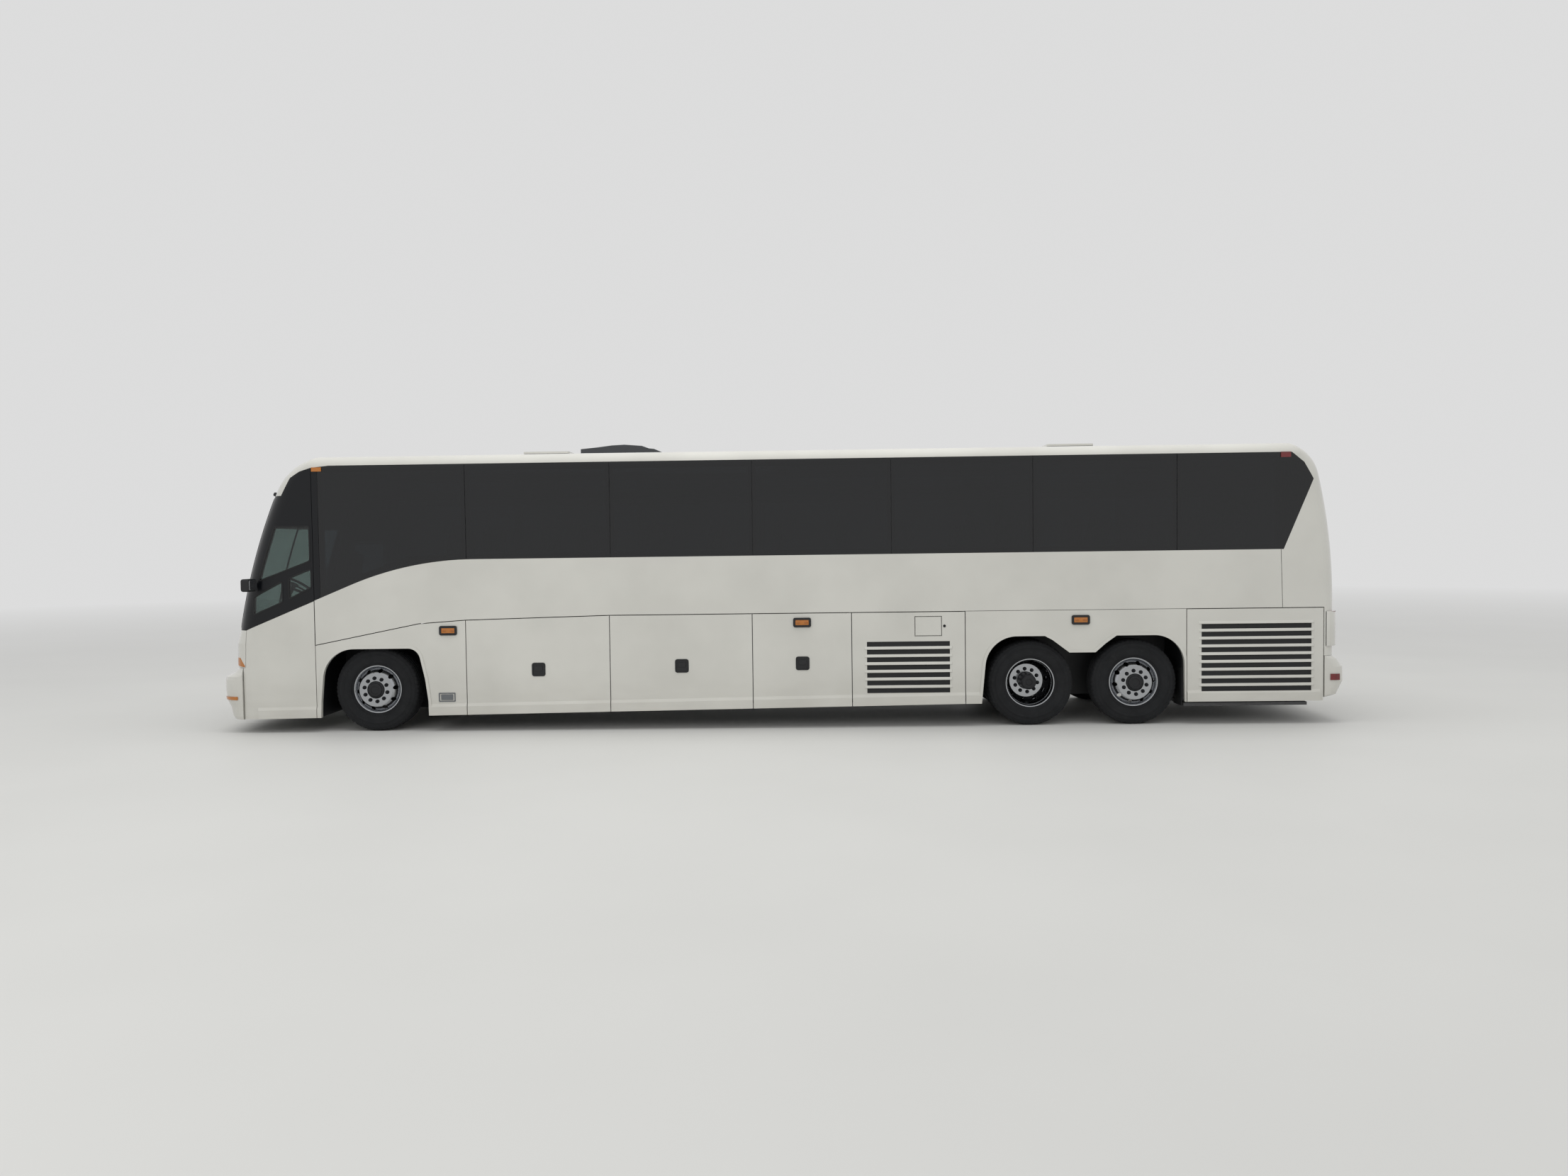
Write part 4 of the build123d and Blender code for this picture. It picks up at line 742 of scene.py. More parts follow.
HUB_FRONT = [(170, 104), (186, 104), (192, 98), (196, 84), (206, 80), (209, 76), (210, 60), (210, 52),
             (206, 50), (206, 20), (206, 0.5)]
HUB_DRIVE = [(-165, 108), (-140, 108), (-135, 104), (-60, 98), (40, 92), (46, 90), (50, 84), (60, 82),
             (62, 78), (62, 40), (56, 36), (56, 0.5)]
FRONT_FACE = 182.0
DRIVE_FACE = -148.0


def wheel_place(x, side, mid_y):
    """Middle of a wheel, and its axes with the third one pointing outboard."""
    return spot(x, side * mid_y, TYRE_R), outboard(side)


TYRE = tyre_shape()
BARREL = barrel_shape()
for label, side in SIDES:
    for kind, x in (("front", 0.0), ("tag", TAG_AXLE)):
        body = f"{kind}_wheel_{label}"
        here = wheel_place(x, side, WHEEL_Y)
        disc = joined([BARREL, disc_shape(FRONT_FACE, 96.0)])
        piece(f"{kind}_tread_{label}", set_at(TYRE, *here), TYRE_RUBBER, body,
              [f"{kind}_tyre_{label}"], 50)
        piece(f"{kind}_disc_{label}", set_at(disc, *here), WHEEL_ALLOY, body,
              [f"{kind}_rim_{label}"])
        piece(f"{kind}_nuts_{label}", set_at(nuts(FRONT_FACE), *here), NUT_STEEL, body)
        piece(f"{kind}_hub_{label}", set_at(turned(HUB_FRONT, 64, closed=False), *here), HUB_GREY, body)
    body = f"drive_wheel_{label}"
    outer = wheel_place(DRIVE_AXLE, side, WHEEL_Y)
    inner = wheel_place(DRIVE_AXLE, side, WHEEL_Y - TWIN)
    both = joined([set_at(TYRE, *outer), set_at(TYRE, *inner)])
    piece(f"drive_treads_{label}", both, TYRE_RUBBER, body, [f"drive_tyres_{label}"], 50)
    deep = joined([BARREL, disc_shape(DRIVE_FACE, -92.0)])
    far = joined([BARREL, disc_shape(170.0, 114.0)])
    piece(f"drive_discs_{label}", joined([set_at(deep, *outer), set_at(far, *inner)]), WHEEL_ALLOY, body,
          [f"drive_rims_{label}"])
    piece(f"drive_nuts_{label}", set_at(nuts(DRIVE_FACE), *outer), NUT_STEEL, body)
    piece(f"drive_hub_{label}", set_at(turned(HUB_DRIVE, 64, closed=False), *outer), HUB_GREY, body)

# Louvre hoods on the flaps, and near-black screens behind their slots as painted shade of the flaps' dark inside:
# stations, height of the first slot, slots and hoods
LOUVRES = [("condenser_door", 6019, 7020, 449, 7, 6), ("engine_side_door", 10035, 11343, 434, 9, 9)]
PITCH = 94
SLOT_H = 60
SCREEN_DEPTH = -14


def hood(length):
    """Pressed slat between two slots: a wedge whose lower edge stands proud, tapering to its ends."""
    rows = []
    for along, full in ((-0.5, 0.02), (-0.497, 0.5), (-0.485, 1), (0.485, 1), (0.497, 0.5), (0.5, 0.02)):
        rows.append([(along * length, z, depth * full if depth > 0 else depth)
                     for z, depth in ((17, -2), (16, 1), (-10, 11), (-14, 11), (-17, 8), (-18, -2))])
    return sheet(np.array(rows, float), wrap_v=True, cap_u=True)


for label, side in SIDES:
    for name, x0, x1, z0, slots, hoods in LOUVRES:
        body = f"{name}_{label}"
        middle = (x0 + x1) / 2
        slats = [on_side(hood(x1 - x0 + 60), middle, z0 + (row + 0.5) * PITCH, side) for row in range(hoods)]
        piece(f"{body}_hoods", joined(slats), PAINT, body)
        rise = (slots - 1) * PITCH
        # The near-black screen close behind the slots is painted shade for the dark inside of the flap
        mesh = slab(x1 - x0 + 30, rise + SLOT_H + 20, 4, 4, 1)
        piece(f"{body}_screen", on_side(mesh, middle, z0 + rise / 2, side, SCREEN_DEPTH), SLOT_SHADE_SCREEN, body)

# Latches of the luggage flaps: bezel, dish and paddle
LATCHES = [(1, 2021, 749), (2, 3771, 775), (3, 5239, 791)]
latch = joined([frame_ring(166, 166, 30, 16, 0, 7), slab(140, 140, 1.5, 18, 0.5),
                set_at(slab(96, 62, 9, 14, 4), (0, 12, 0))])
for label, side in SIDES:
    for index, x, z in LATCHES:
        body = f"bay_door_{label}_{index}"
        piece(f"{body}_latch", on_side(latch, x, z, side), BLACK_PLASTIC, body)

# Side marker lamps: bezel and lens with two round optics that stand on edge
LAMPS = {"root": [(921, 1236), (8591, 1282)], "bay": [(5238, 1287)]}
ON_EDGE = ((1, 0, 0), (0, 0, 1), (0, -1, 0))
lamp_bezel = frame_ring(216, 116, 24, 27, 0, 18)
lamp_lens = joined([slab(164, 64, 15.5, 12, 3)] + [set_at(dome_cap(24, 5), (dx, 0, 15), ON_EDGE) for dx in (-48, 48)])
for label, side in SIDES:
    for group, body in (("root", "root"), ("bay", f"bay_door_{label}_3")):
        bezels = [on_side(lamp_bezel, x, z, side) for x, z in LAMPS[group]]
        lenses = [on_side(lamp_lens, x, z, side) for x, z in LAMPS[group]]
        piece(f"{group}_lamp_bezels_{label}", joined(bezels), BLACK_PLASTIC, body)
        piece(f"{group}_lamp_lenses_{label}", joined(lenses), AMBER, body)

# Small trim on the sides: the grey inlet behind the front wheel, and the round locks of two doors
inlet = joined([frame_ring(206, 112, 10, 14, 0, 6), slab(150, 70, 4, 8, 1.5)])
for label, side in SIDES:
    piece(f"side_inlet_{label}", on_side(inlet, 890, 420, side), INLET_GREY)
LOCK = turned([(0, 17), (3, 17), (5, 14), (5, 6), (3.5, 5), (3.5, 0.5)], 24, closed=False)
piece("filler_lock", on_side(LOCK, 6956, 1226, -1), NUT_STEEL, "condenser_door_left")
piece("entrance_door_lock", on_side(LOCK, -800, 1180, 1), NUT_STEEL, "entrance_door")


# Seams between the fixed body mouldings: narrow dark joints
def side_seam(points, side):
    """Flat strip 5 mm wide along a line on the side, 0.6 mm proud."""
    path = np.array([spot(x, side * (HALF_W + 0.3), z) for x, z in points])
    section = [(-0.3, -2.5), (0.3, -2.5), (0.3, 2.5), (-0.3, 2.5)]
    return swept(section, path, up=np.cross((0, side, 0), path[-1] - path[0]))


SEAMS = [[(10977, 2100), (10998, 1408)], [(-722, 1610), (-722, 1072)]]
piece("body_seams", joined([side_seam(line, side) for label, side in SIDES for line in SEAMS]), RUBBER)


# Driver's window and entrance door: rubber round the three panes and the door, and a grab rail inside
def round_corner(corners, r, count, side, proud):
    """Loop of (station, height) points laid on the side and the front corner."""
    line = even_loop(corners, r, count)
    x, z = FRONT_X + line[:, 0], line[:, 1]
    return np.column_stack([x, side * (body_y(x, z) + proud), z])


PANES = [
    [(-1185, 2530), (-757, 2530), (-757, 2106), (-1399, 1865), (-1320, 2124)],
    [(-1470, 1668), (-1109, 1857), (-1109, 1607), (-1470, 1452)],
    [(-1026, 1895), (-748, 2006), (-748, 1782), (-1026, 1645)],
]
PANE_RUBBER = [(-9, -2), (9, -2), (9, 2), (6, 4), (-6, 4), (-9, 2)]
frames = []
for corners in PANES:
    frames.append(swept(PANE_RUBBER, round_corner(corners, 28, 120, -1, 1.5), up=(0, -1, 0), loop=True))
piece("driver_window_frames", joined(frames), RUBBER)
DOOR = [(-1558, 225), (-1558, 1298), (-1282, 2390), (-740, 2390), (-740, 225)]
DOOR_RUBBER = [(-7, -3), (7, -3), (7, 1), (4, 2.5), (-4, 2.5), (-7, 1)]
door_seal = swept(DOOR_RUBBER, round_corner(DOOR, 20, 200, 1, 0.5), up=(0, 1, 0), loop=True)
piece("entrance_door_seal", door_seal, RUBBER, "entrance_door")
rail = smooth_path([spot(x, 1195, z) for x, z in ((-790, 760), (-800, 790), (-800, 1550), (-790, 1580))], 24)
piece("entrance_grab_rail", swept(circle(14, 12), rail, up=(0, 1, 0)), SATIN_ALLOY, "entrance_door")

# Wipers on the windscreen
WIPER_PIVOT_Z = 1262


def wiper(y0, z0, y1, z1):
    """Arm and blade that lie on the screen: the blade's path is a straight line in (y, z) carried onto
    the nose surface, 16 mm ahead of it, and the arm rises to its middle."""
    t = np.linspace(0, 1, 24)
    y, z = y0 + (y1 - y0) * t, z0 + (z1 - z0) * t
    blade = np.stack([nose_x(y, z, 16), y, z], axis=1)
    rubber = swept([(-4, -14), (4, -14), (7, 6), (-7, 6)], blade, up=(1, 0, 0))
    mid_y, mid_z = (y0 + y1) / 2, (z0 + z1) / 2
    foot_y = y0 * 0.1 + mid_y * 0.9
    t = np.linspace(0, 1, 12)
    y, z = foot_y + (mid_y - foot_y) * t, WIPER_PIVOT_Z + (mid_z - WIPER_PIVOT_Z) * t
    arm = np.stack([nose_x(y, z, 26 - 6 * t), y, z], axis=1)
    return joined([rubber, swept(circle(7, 8), arm, up=(1, 0, 0))])


piece("wipers", joined([wiper(-1000, 1330, -130, 1352), wiper(150, 1330, 1000, 1352)]), BLACK_PLASTIC)

# Windscreen: rubber seal round it, a post down its middle and the small pods at its top corners
SEAL_UP = (-1, 0, 0.3)
edge = even_loop([(-1125, 1270), (1125, 1270), (1125, 2898), (-1125, 2898)], 60, 220)
edge = np.column_stack([nose_x(edge[:, 0], edge[:, 1], 1), edge])
seal = swept([(-9, -5), (9, -5), (9, 2), (5, 5), (-5, 5), (-9, 2)], edge, up=SEAL_UP, loop=True)
post_z = np.linspace(1268, 2900, 40)
post = np.column_stack([nose_x(np.zeros(40), post_z, 1), np.zeros(40), post_z])
post = swept([(-14, -6), (14, -6), (14, 2), (8, 5), (-8, 5), (-14, 2)], post, up=SEAL_UP)
piece("windscreen_seal", joined([seal, post]), RUBBER)
pods = []
for label, side in SIDES:
    here = (nose_x(side * 1085, 2925, -4), side * 1085, 2925)
    pods.append(set_at(slab(74, 46, 34, 20, 12), here, ((0, -side, 0), (0.35, 0, 1), (-1, 0, 0.35))))
piece("windscreen_pods", joined(pods), BLACK_PLASTIC)

# Front lamps: a dark tray behind each clear cover, two round lamps with bowls, and an amber corner lamp
BOWL = np.array([(0, 64), (-6, 63), (-22, 52), (-34, 36), (-40, 18), (-41, 0.5)])
RING = np.array([(4, 74), (4, 66), (-4, 63), (-10, 66), (-10, 74)])
LAMP_Z = 900
bowls, cups, trays = [], [], []
for label, side in SIDES:
    for y, scale in ((side * 760, 1.0), (side * 930, 1.0), (side * 1085, 0.7)):
        here = (nose_x(y, LAMP_Z, -34), y, LAMP_Z)
        bowls.append(set_at(turned(BOWL * scale, 48, closed=False), here, AHEAD))
        cups.append(set_at(turned(RING * scale, 48), here, AHEAD))
        bowls.append(set_at(dome_cap(15 * scale, 18, 16), (nose_x(y, LAMP_Z, -66), y, LAMP_Z), AHEAD))
    outline = even_loop([(side * 645, 826), (side * 1195, 826), (side * 1195, 980), (side * 645, 980)], 18, 80)
    trays.append(wrapped(outline, nose_x, -52, -58))
piece("headlamp_bowls", joined(bowls), BRIGHT)
piece("headlamp_rings", joined(cups), BLACK_PLASTIC)
piece("headlamp_trays", joined(trays), BLACK_PLASTIC)


def corner_plate(angles, low, high, side, out, back=-4.0):
    """Closed plate on the nose's plan corner between two height lines, with eased edges: at angle a (0 is
    ahead, 90 outboard) a point is the corner's middle plus (r + depth) times (-cos a, sin a)."""
    r = NOSE_PLAN[1]
    a = np.radians(angles)
    rows = []
    for share, depth in ((0, back), (0, out * 0.6), (0.04, out), (0.5, out), (0.96, out), (1, out * 0.6),
                         (1, back)):
        z = low + (high - low) * share
        middle = NOSE_X + np.interp(z, NOSE_LINE[:, 1], NOSE_LINE[:, 0]) + corner_setback(*NOSE_PLAN)
        y = side * (HALF_W - r + (r + depth) * np.sin(a))
        rows.append(np.column_stack([middle - (r + depth) * np.cos(a), y, z]))
    return plate_round(rows)


AMBER_ANGLES = np.linspace(36, 70, 10)
AMBER_LOW = np.interp(AMBER_ANGLES, [36, 70], [826, 812])
AMBER_HIGH = np.interp(AMBER_ANGLES, [36, 52, 70], [925, 922, 830])
turn_lamps = [corner_plate(AMBER_ANGLES, AMBER_LOW, AMBER_HIGH, side, 7) for label, side in SIDES]
piece("corner_lamps", joined(turn_lamps), AMBER)

# Blank plates and their lamps
plate = slab(305, 152, 3, 10, 1)
front_plate = set_at(plate, (nose_x(0, 560, 2, BUMPER_LINE), 0, 560), AHEAD)
rear_plate = set_at(plate, (tail_x(0, 600, 2, TAIL_BUMPER_LINE), 0, 600), ASTERN)
piece("number_plates", joined([front_plate, rear_plate]), PLATE)
plate_lamps = [set_at(slab(60, 18, 16, 6, 4), (tail_x(y, 700, -4, TAIL_BUMPER_LINE), y, 700), ASTERN)
               for y in (-110, 110)]
piece("plate_lamps", joined(plate_lamps), BLACK_PLASTIC)

# Engine door: handle, pressed louvres and the third brake lamp above it
HANDLE_Z = 900
VENT_ROWS = range(1010, 1010 + 8 * 38, 38)
grip = [(tail_x(0, HANDLE_Z, proud), y, HANDLE_Z) for proud, y in ((0, -90), (34, -70), (34, 70), (0, 90))]
piece("engine_door_handle", swept(circle(7, 10), smooth_path(grip, 20)), BLACK_PLASTIC, "engine_door")
vents = [set_at(slab(560, 20, 9, 8, 5), (tail_x(y, z, 0), y, z), ((0, 1, 0), (0.03, 0, 1), (1, 0, 0)))
         for z in VENT_ROWS for y in (-420, 420)]
piece("engine_door_vents", joined(vents), PAINT, "engine_door")
brake_lamp = even_loop([(-190, 2930), (190, 2930), (190, 2965), (-190, 2965)], 10, 60)
piece("high_brake_lamp", wrapped(brake_lamp, tail_x, 10, -4), RED)

# Tail lamps: black bars that part their chambers
bars = []
for label, side in SIDES:
    for z in (940, 1102, 1194, 1346):
        y = np.linspace(side * 1064, side * 1212, 14)
        path = levelled(np.column_stack([tail_x(y, np.full(14, z), 38.5), y]), z)
        bars.append(swept([(-4, -3), (4, -3), (4, 2), (-4, 2)], path, up=(1, 0, 0)))
piece("tail_lamp_frames", joined(bars), BLACK_PLASTIC)

# Painted housings that wrap the tail lamps from the flat side to the lens
HOUSING_X0 = TAIL_X - 244
HOUSING_X1 = TAIL_X - 110
HOUSING_LOW = 934
LENS_REACH = 37


def lamp_housing(side):
    """Rows across the edge of a path in plan: along the side, then round the corner circle of the tail to
    25 degrees from dead astern, 3 mm outside the lamp; its upper edge falls towards the tail."""
    r = TAIL_PLAN[1]
    a = np.radians(np.linspace(90, 25, 16))
    x = TAIL_X - TAIL_LINE[0, 0] + LENS_REACH - corner_setback(*TAIL_PLAN) + (r + 3) * np.cos(a)
    x = np.concatenate([np.linspace(HOUSING_X0, x[0] - 4, 6), x])
    y = np.concatenate([np.full(6, HALF_W + 3), HALF_W - r + (r + 3) * np.sin(a)])
    away_x, away_y = np.concatenate([np.zeros(6), np.cos(a)]), np.concatenate([np.ones(6), np.sin(a)])
    tall = np.interp(x, [HOUSING_X0, HOUSING_X1], [1352, 1334]) - HOUSING_LOW
    rows = []
    for share, depth in ((0, -5), (0, -1), (0.01, 0), (0.5, 0), (0.99, 0), (1, -1), (1, -5)):
        plan = np.column_stack([x + away_x * depth, side * (y + away_y * depth)])
        rows.append(np.column_stack([plan, HOUSING_LOW + tall * share]))
    return plate_round(rows)


piece("tail_lamp_housings", joined([lamp_housing(side) for label, side in SIDES]), PAINT)

# Exhaust at the left rear, with a turned-down tip
pipe = smooth_path([(TAIL_X - ahead, -760, z) for ahead, z in ((700, 300), (360, 300), (290, 285), (250, 240))], 24)
bore = pipe[-6:][::-1] + (0, 0, 0.5)
exhaust = [swept(circle(55, 28), pipe, up=(0, 1, 0)), swept(circle(50, 28), bore, up=(0, 1, 0))]
piece("exhaust_pipe", joined(exhaust), NUT_STEEL)

# Mirrors: glass in each housing's rear face, by place and size
MIRRORS = [(-1391, -1450, 1822, 186, 122), (-1789, 1440, 1800, 204, 440)]
glasses = [set_at(slab(w, h, 2.5, 22, 1.0), spot(x, y, z), ASTERN) for x, y, z, w, h in MIRRORS]
piece("mirror_glasses", joined(glasses), MIRROR)

# Roof hatches: rubber seals
HATCH_TOP = 3446.0
hatch_trim = []
for x in (1640, 8400):
    line = even_loop([(x + 4, -316), (x + 591, -316), (x + 591, 316), (x + 4, 316)], 44, 120)
    path = levelled(line + (FRONT_X, 0), HATCH_TOP)
    hatch_trim.append(swept([(-5, -5), (5, -5), (5, 4), (-5, 4)], path, loop=True))
piece("hatch_seals", joined(hatch_trim), RUBBER)

# Mud flaps behind the tag wheels
flaps = [set_at(slab(300, 460, 8, 10, 2), spot(9822, side * 1085, 450), AHEAD) for label, side in SIDES]
piece("mud_flaps", joined(flaps), RUBBER)


# Seats: foam pads in moquette covers, blown up by a short cloth simulation, on dark shells
def pad_shape(w, d, h, crown, channel):
    """Pad w by d with its top at h in the middle: rings from the bottom edge, out over a bulged side and
    in over the top, where z = h - crown s2 at share s of the outline; channel deepens a seam at s 0.86."""
    edge = ((0.82, 0.0), (0.96, 0.0), (1.0, 0.25), (1.0, 0.6), (0.985, 0.86))
    levels = [(share, (h - crown) * level) for share, level in edge]
    for share in (0.94, 0.88, 0.86, 0.84, 0.7, 0.5, 0.3, 0.1):
        dip = channel * math.exp(-((share - 0.86) / 0.02) ** 2)
        levels.append((share, h - crown * share ** 2 - dip))
    rows = [levelled(rounded_outline(w * share, d * share, 60 * share, 4), z) for share, z in levels]
    return sheet(np.array(rows), wrap_v=True, cap_u=True)


def stuffed(shape, cap_mm):
    """The shape after twenty steps of cloth under inner pressure and no gravity, each point kept
    within cap_mm of its start and its underside held flat."""
    points, faces = shape
    mesh = bpy.data.meshes.new("pad_work")
    mesh.from_pydata((points * 0.001).tolist(), [], faces)
    thing = bpy.data.objects.new("pad_work", mesh)
    scene = bpy.context.scene
    scene.collection.objects.link(thing)
    held = thing.vertex_groups.new(name="held")
    held.add([k for k in range(len(points)) if points[k, 2] < 1.0], 1.0, "REPLACE")
    cloth = thing.modifiers.new("cloth", "CLOTH").settings
    cloth.use_pressure = True
    cloth.uniform_pressure_force = 4.0
    cloth.effector_weights.gravity = 0.0
    cloth.vertex_group_mass = "held"
    cloth.quality = 5
    for step in range(1, 21):
        scene.frame_set(step)
    made = thing.evaluated_get(bpy.context.evaluated_depsgraph_get()).to_mesh()
    moved = np.empty(len(points) * 3)
    made.vertices.foreach_get("co", moved)
    shift = moved.reshape(-1, 3) * 1000 - points
    far = np.linalg.norm(shift, axis=1)[:, None]
    bpy.data.objects.remove(thing)
    bpy.data.meshes.remove(mesh)
    scene.frame_set(1)
    return points + shift * np.minimum(1.0, cap_mm / np.maximum(far, 1e-6)), faces


CUSHION = stuffed(pad_shape(452, 430, 124, 26, 5), 14.0)
BACK = stuffed(pad_shape(440, 560, 74, 18, 5), 10.0)
HEAD = stuffed(pad_shape(330, 150, 70, 18, 3), 8.0)
BACK_TILT = math.atan2(110, 690)
BACK_UP = np.array([math.sin(BACK_TILT), 0, math.cos(BACK_TILT)])
BACK_OUT = np.array([-math.cos(BACK_TILT), 0, math.sin(BACK_TILT)])
PAD_AXES = ((0, 1, 0), BACK_UP, BACK_OUT)
SHELL_AXES = ((0, -1, 0), BACK_UP, -BACK_OUT)
SEAT_ROWS = [350 + 800 * row for row in range(13)]
PLACES = (480, 950)
PAIR_Y = 715
PAIR_W = 960
REST_Y = 232
DRIVER = (-1050, -740)


def seat_pads(x, y, floor):
    """Cushion, back and headrest pads of one seat whose front is at station x."""
    hinge = spot(x + 526, y, floor + 400)
    return [set_at(CUSHION, spot(x + 228, y, floor + 296), SEATED),
            set_at(BACK, hinge + BACK_UP * 290, PAD_AXES), set_at(HEAD, hinge + BACK_UP * 600, PAD_AXES)]


def seat_shell(x, y, w, floor):
    """Moulded back shell, seat pan and the two legs that carry a seat w wide."""
    parts = [set_at(slab(w, 700, 34, 70, 12, steps=4), spot(x + 570, y, floor + 690), SHELL_AXES),
             set_at(slab(w - 20, 440, 30, 30, 8, low=-6, steps=3), spot(x + 235, y, floor + 262), SEATED)]
    for leg_y in (y - w * 0.3, y + w * 0.3):
        parts.append(set_at(slab(60, 300, 262, 12, 4, steps=3), spot(x + 240, leg_y, floor), SEATED))
    return parts


def seat_table(x, y):
    """Folding table, its latch and a net bar on the back of one place."""
    middle = spot(x + 570, y, CABIN_FLOOR + 690) + BACK_UP * 60 - BACK_OUT * 33
    return [set_at(slab(360, 210, 16, 24, 5), middle, SHELL_AXES),
            set_at(slab(40, 16, 24, 6, 3), middle + BACK_UP * 122, SHELL_AXES),
            set_at(slab(360, 14, 12, 5, 4), middle - BACK_UP * 190, SHELL_AXES)]


pads, shells, tables = [], [], []
for x in SEAT_ROWS:
    for label, side in SIDES:
        for y in PLACES:
            pads += seat_pads(x, side * y, CABIN_FLOOR)
            tables += seat_table(x, side * y)
        shells += seat_shell(x, side * PAIR_Y, PAIR_W, CABIN_FLOOR)
        rest = [spot(x + dx, side * REST_Y, CABIN_FLOOR + up) for dx, up in ((120, 610), (300, 625), (500, 625))]
        shells.append(swept(circle(22, 8), rest))
passenger_pads = piece("passenger_seat_pads", joined(pads), MOQUETTE, replaces=["passenger_seats"],
                       sharp=60)
piece("passenger_seat_frames", joined(shells), BLACK_PLASTIC)
piece("seat_back_tables", joined(tables), DASH)
driver_pads = piece("driver_seat_pads", joined(seat_pads(*DRIVER, CAB_FLOOR)), MOQUETTE,
                    replaces=["driver_seat"], sharp=60)
piece("driver_seat_frame", joined(seat_shell(*DRIVER, 470, CAB_FLOOR)), BLACK_PLASTIC)

# Air springs: rubber bellows with three folds between steel plates, by station, width and two heights
SPRINGS = [(0, 430, 520, 900), (DRIVE_AXLE, 505, 600, 900), (TAG_AXLE, 505, 590, 900)]
SPRING_PLATE = 10
bellows, plates = [], []
for label, side in SIDES:
    for x, y, low, high in SPRINGS:
        here = spot(x, side * y, 0)
        t = np.linspace(0, 1, 40)
        bottom, top = low + SPRING_PLATE, high - SPRING_PLATE
        folds = np.column_stack([bottom + (top - bottom) * t, 36 + 13 * np.abs(np.sin(3 * np.pi * t)) ** 0.6])
        bellows.append(set_at(turned([(bottom, 0.5), *folds.tolist(), (top, 0.5)], 40, closed=False), here))
        for z in (low, top):
            line = [(z, 0.5), (z, 48), (z + SPRING_PLATE, 48), (z + SPRING_PLATE, 0.5)]
            plates.append(set_at(turned(line, 40, closed=False), here))
piece("air_bellows", joined(bellows), RUBBER, replaces=["air_springs"], sharp=60)
piece("air_spring_plates", joined(plates), NUT_STEEL)

# Engine dress on the block: rocker covers, side covers, exhaust manifolds, air receivers and belt drive
ENGINE_X0 = 10000
ENGINE_X1 = 11250
BLOCK_HALF_W = 430
BLOCK_TOP = 1220
MANIFOLD_Y = 548
RECEIVER_Y = 640
RECEIVER = [(0, 0.5), (0, 96), (20, 108), (300, 108), (320, 96), (320, 0.5)]
SIDE_COVERS = ((900, slab(150, 420, 26, 30, 12, low=-4)), (560, slab(120, 120, 40, 26, 12, low=-4)))
# Width, height and radius of each pulley, and the turn where the belt meets and leaves it
PULLEYS = [(0, 560, 110, 205, 335), (240, 880, 90, 340, 450), (-250, 800, 70, 100, 200)]


def pulley(y, z, r):
    """Grooved belt pulley that faces the tail, on a hub that reaches back to the block."""
    line = [(-42, 0.5), (-42, r * 0.4), (0, r * 0.4), (0, r), (6, r), (10, r - 6), (14, r), (20, r), (24, r - 6),
            (28, r), (34, r), (34, r * 0.84), (26, r * 0.8), (26, r * 0.34), (34, r * 0.3), (34, 0.5)]
    return set_at(turned(line, 48, closed=False), spot(ENGINE_X1 + 40, y, z), ASTERN)


covers, pipes, receivers, pulleys, belt = [], [], [], [], []
for x in (ENGINE_X0 + 130 + 198 * cylinder for cylinder in range(6)):
    covers.append(set_at(slab(180, 420, 70, 36, 22, low=-4), spot(x, 0, BLOCK_TOP)))
    for label, side in SIDES:
        covers += [set_at(cover, spot(x, side * BLOCK_HALF_W, z), outboard(side)) for z, cover in SIDE_COVERS]
        branch = [spot(x, side * y, z) for y, z in ((425, 1120), (510, 1140), (MANIFOLD_Y, 1060))]
        pipes.append(swept(circle(28, 12), smooth_path(branch, 10), up=(1, 0, 0)))
for label, side in SIDES:
    log = [spot(x, side * MANIFOLD_Y, 1050) for x in (ENGINE_X0 + 60, ENGINE_X0 + 400, ENGINE_X1 - 60)]
    pipes.append(swept(circle(46, 20), log))
    vessel = turned(RECEIVER, 40, closed=False)
    receivers.append(set_at(vessel, spot(ENGINE_X0 + 260, side * RECEIVER_Y, 560), ASTERN))
    for x in (ENGINE_X0 + 330, ENGINE_X0 + 500):
        receivers.append(set_at(slab(30, 130, 214, 6, 2), spot(x, side * RECEIVER_Y, 452)))
for y, z, r, start, end in PULLEYS:
    pulleys.append(pulley(y, z, r))
    for a in np.radians(np.linspace(start, end, 12)):
        belt.append(spot(ENGINE_X1 + 57, y + (r + 2) * math.cos(a), z + (r + 2) * math.sin(a)))
piece("engine_covers", joined(covers), ENGINE_CAST)
piece("engine_pipes", joined(pipes), CAST)
piece("engine_air_tanks", joined(receivers), SATIN_BLACK)
piece("engine_pulleys", joined(pulleys), NUT_STEEL)
piece("engine_belt", swept([(-3, -12), (3, -12), (3, 12), (-3, 12)], belt, up=(1, 0, 0), loop=True), RUBBER)

# Air tanks across the frame, each in two straps that hang from the rails: station and width of the rail
TANKS = ((-480, 390), (480, 390), (7480, 465))
TANK = [(-330, 0.5), (-326, 60), (-308, 96), (-278, 112), (278, 112), (308, 96), (326, 60), (330, 0.5)]
BAND = [(-20, 112.5), (-20, 116), (20, 116), (20, 112.5)]
TANK_Z = 790
STRAP_Y = 200
tanks, straps = [], []
for x, rail_y in TANKS:
    tanks.append(set_at(turned(TANK, 48, closed=False), spot(x, 0, TANK_Z), ACROSS))
    hanger = slab(36, 8, rail_y - STRAP_Y, 3, 2)
    for label, side in SIDES:
        straps.append(set_at(turned(BAND, 48), spot(x, side * STRAP_Y, TANK_Z), ACROSS))
        straps.append(set_at(hanger, spot(x, side * STRAP_Y, TANK_Z + 120), outboard(side)))
piece("air_tanks", joined(tanks), SATIN_BLACK)
piece("air_tank_straps", joined(straps), NUT_STEEL)

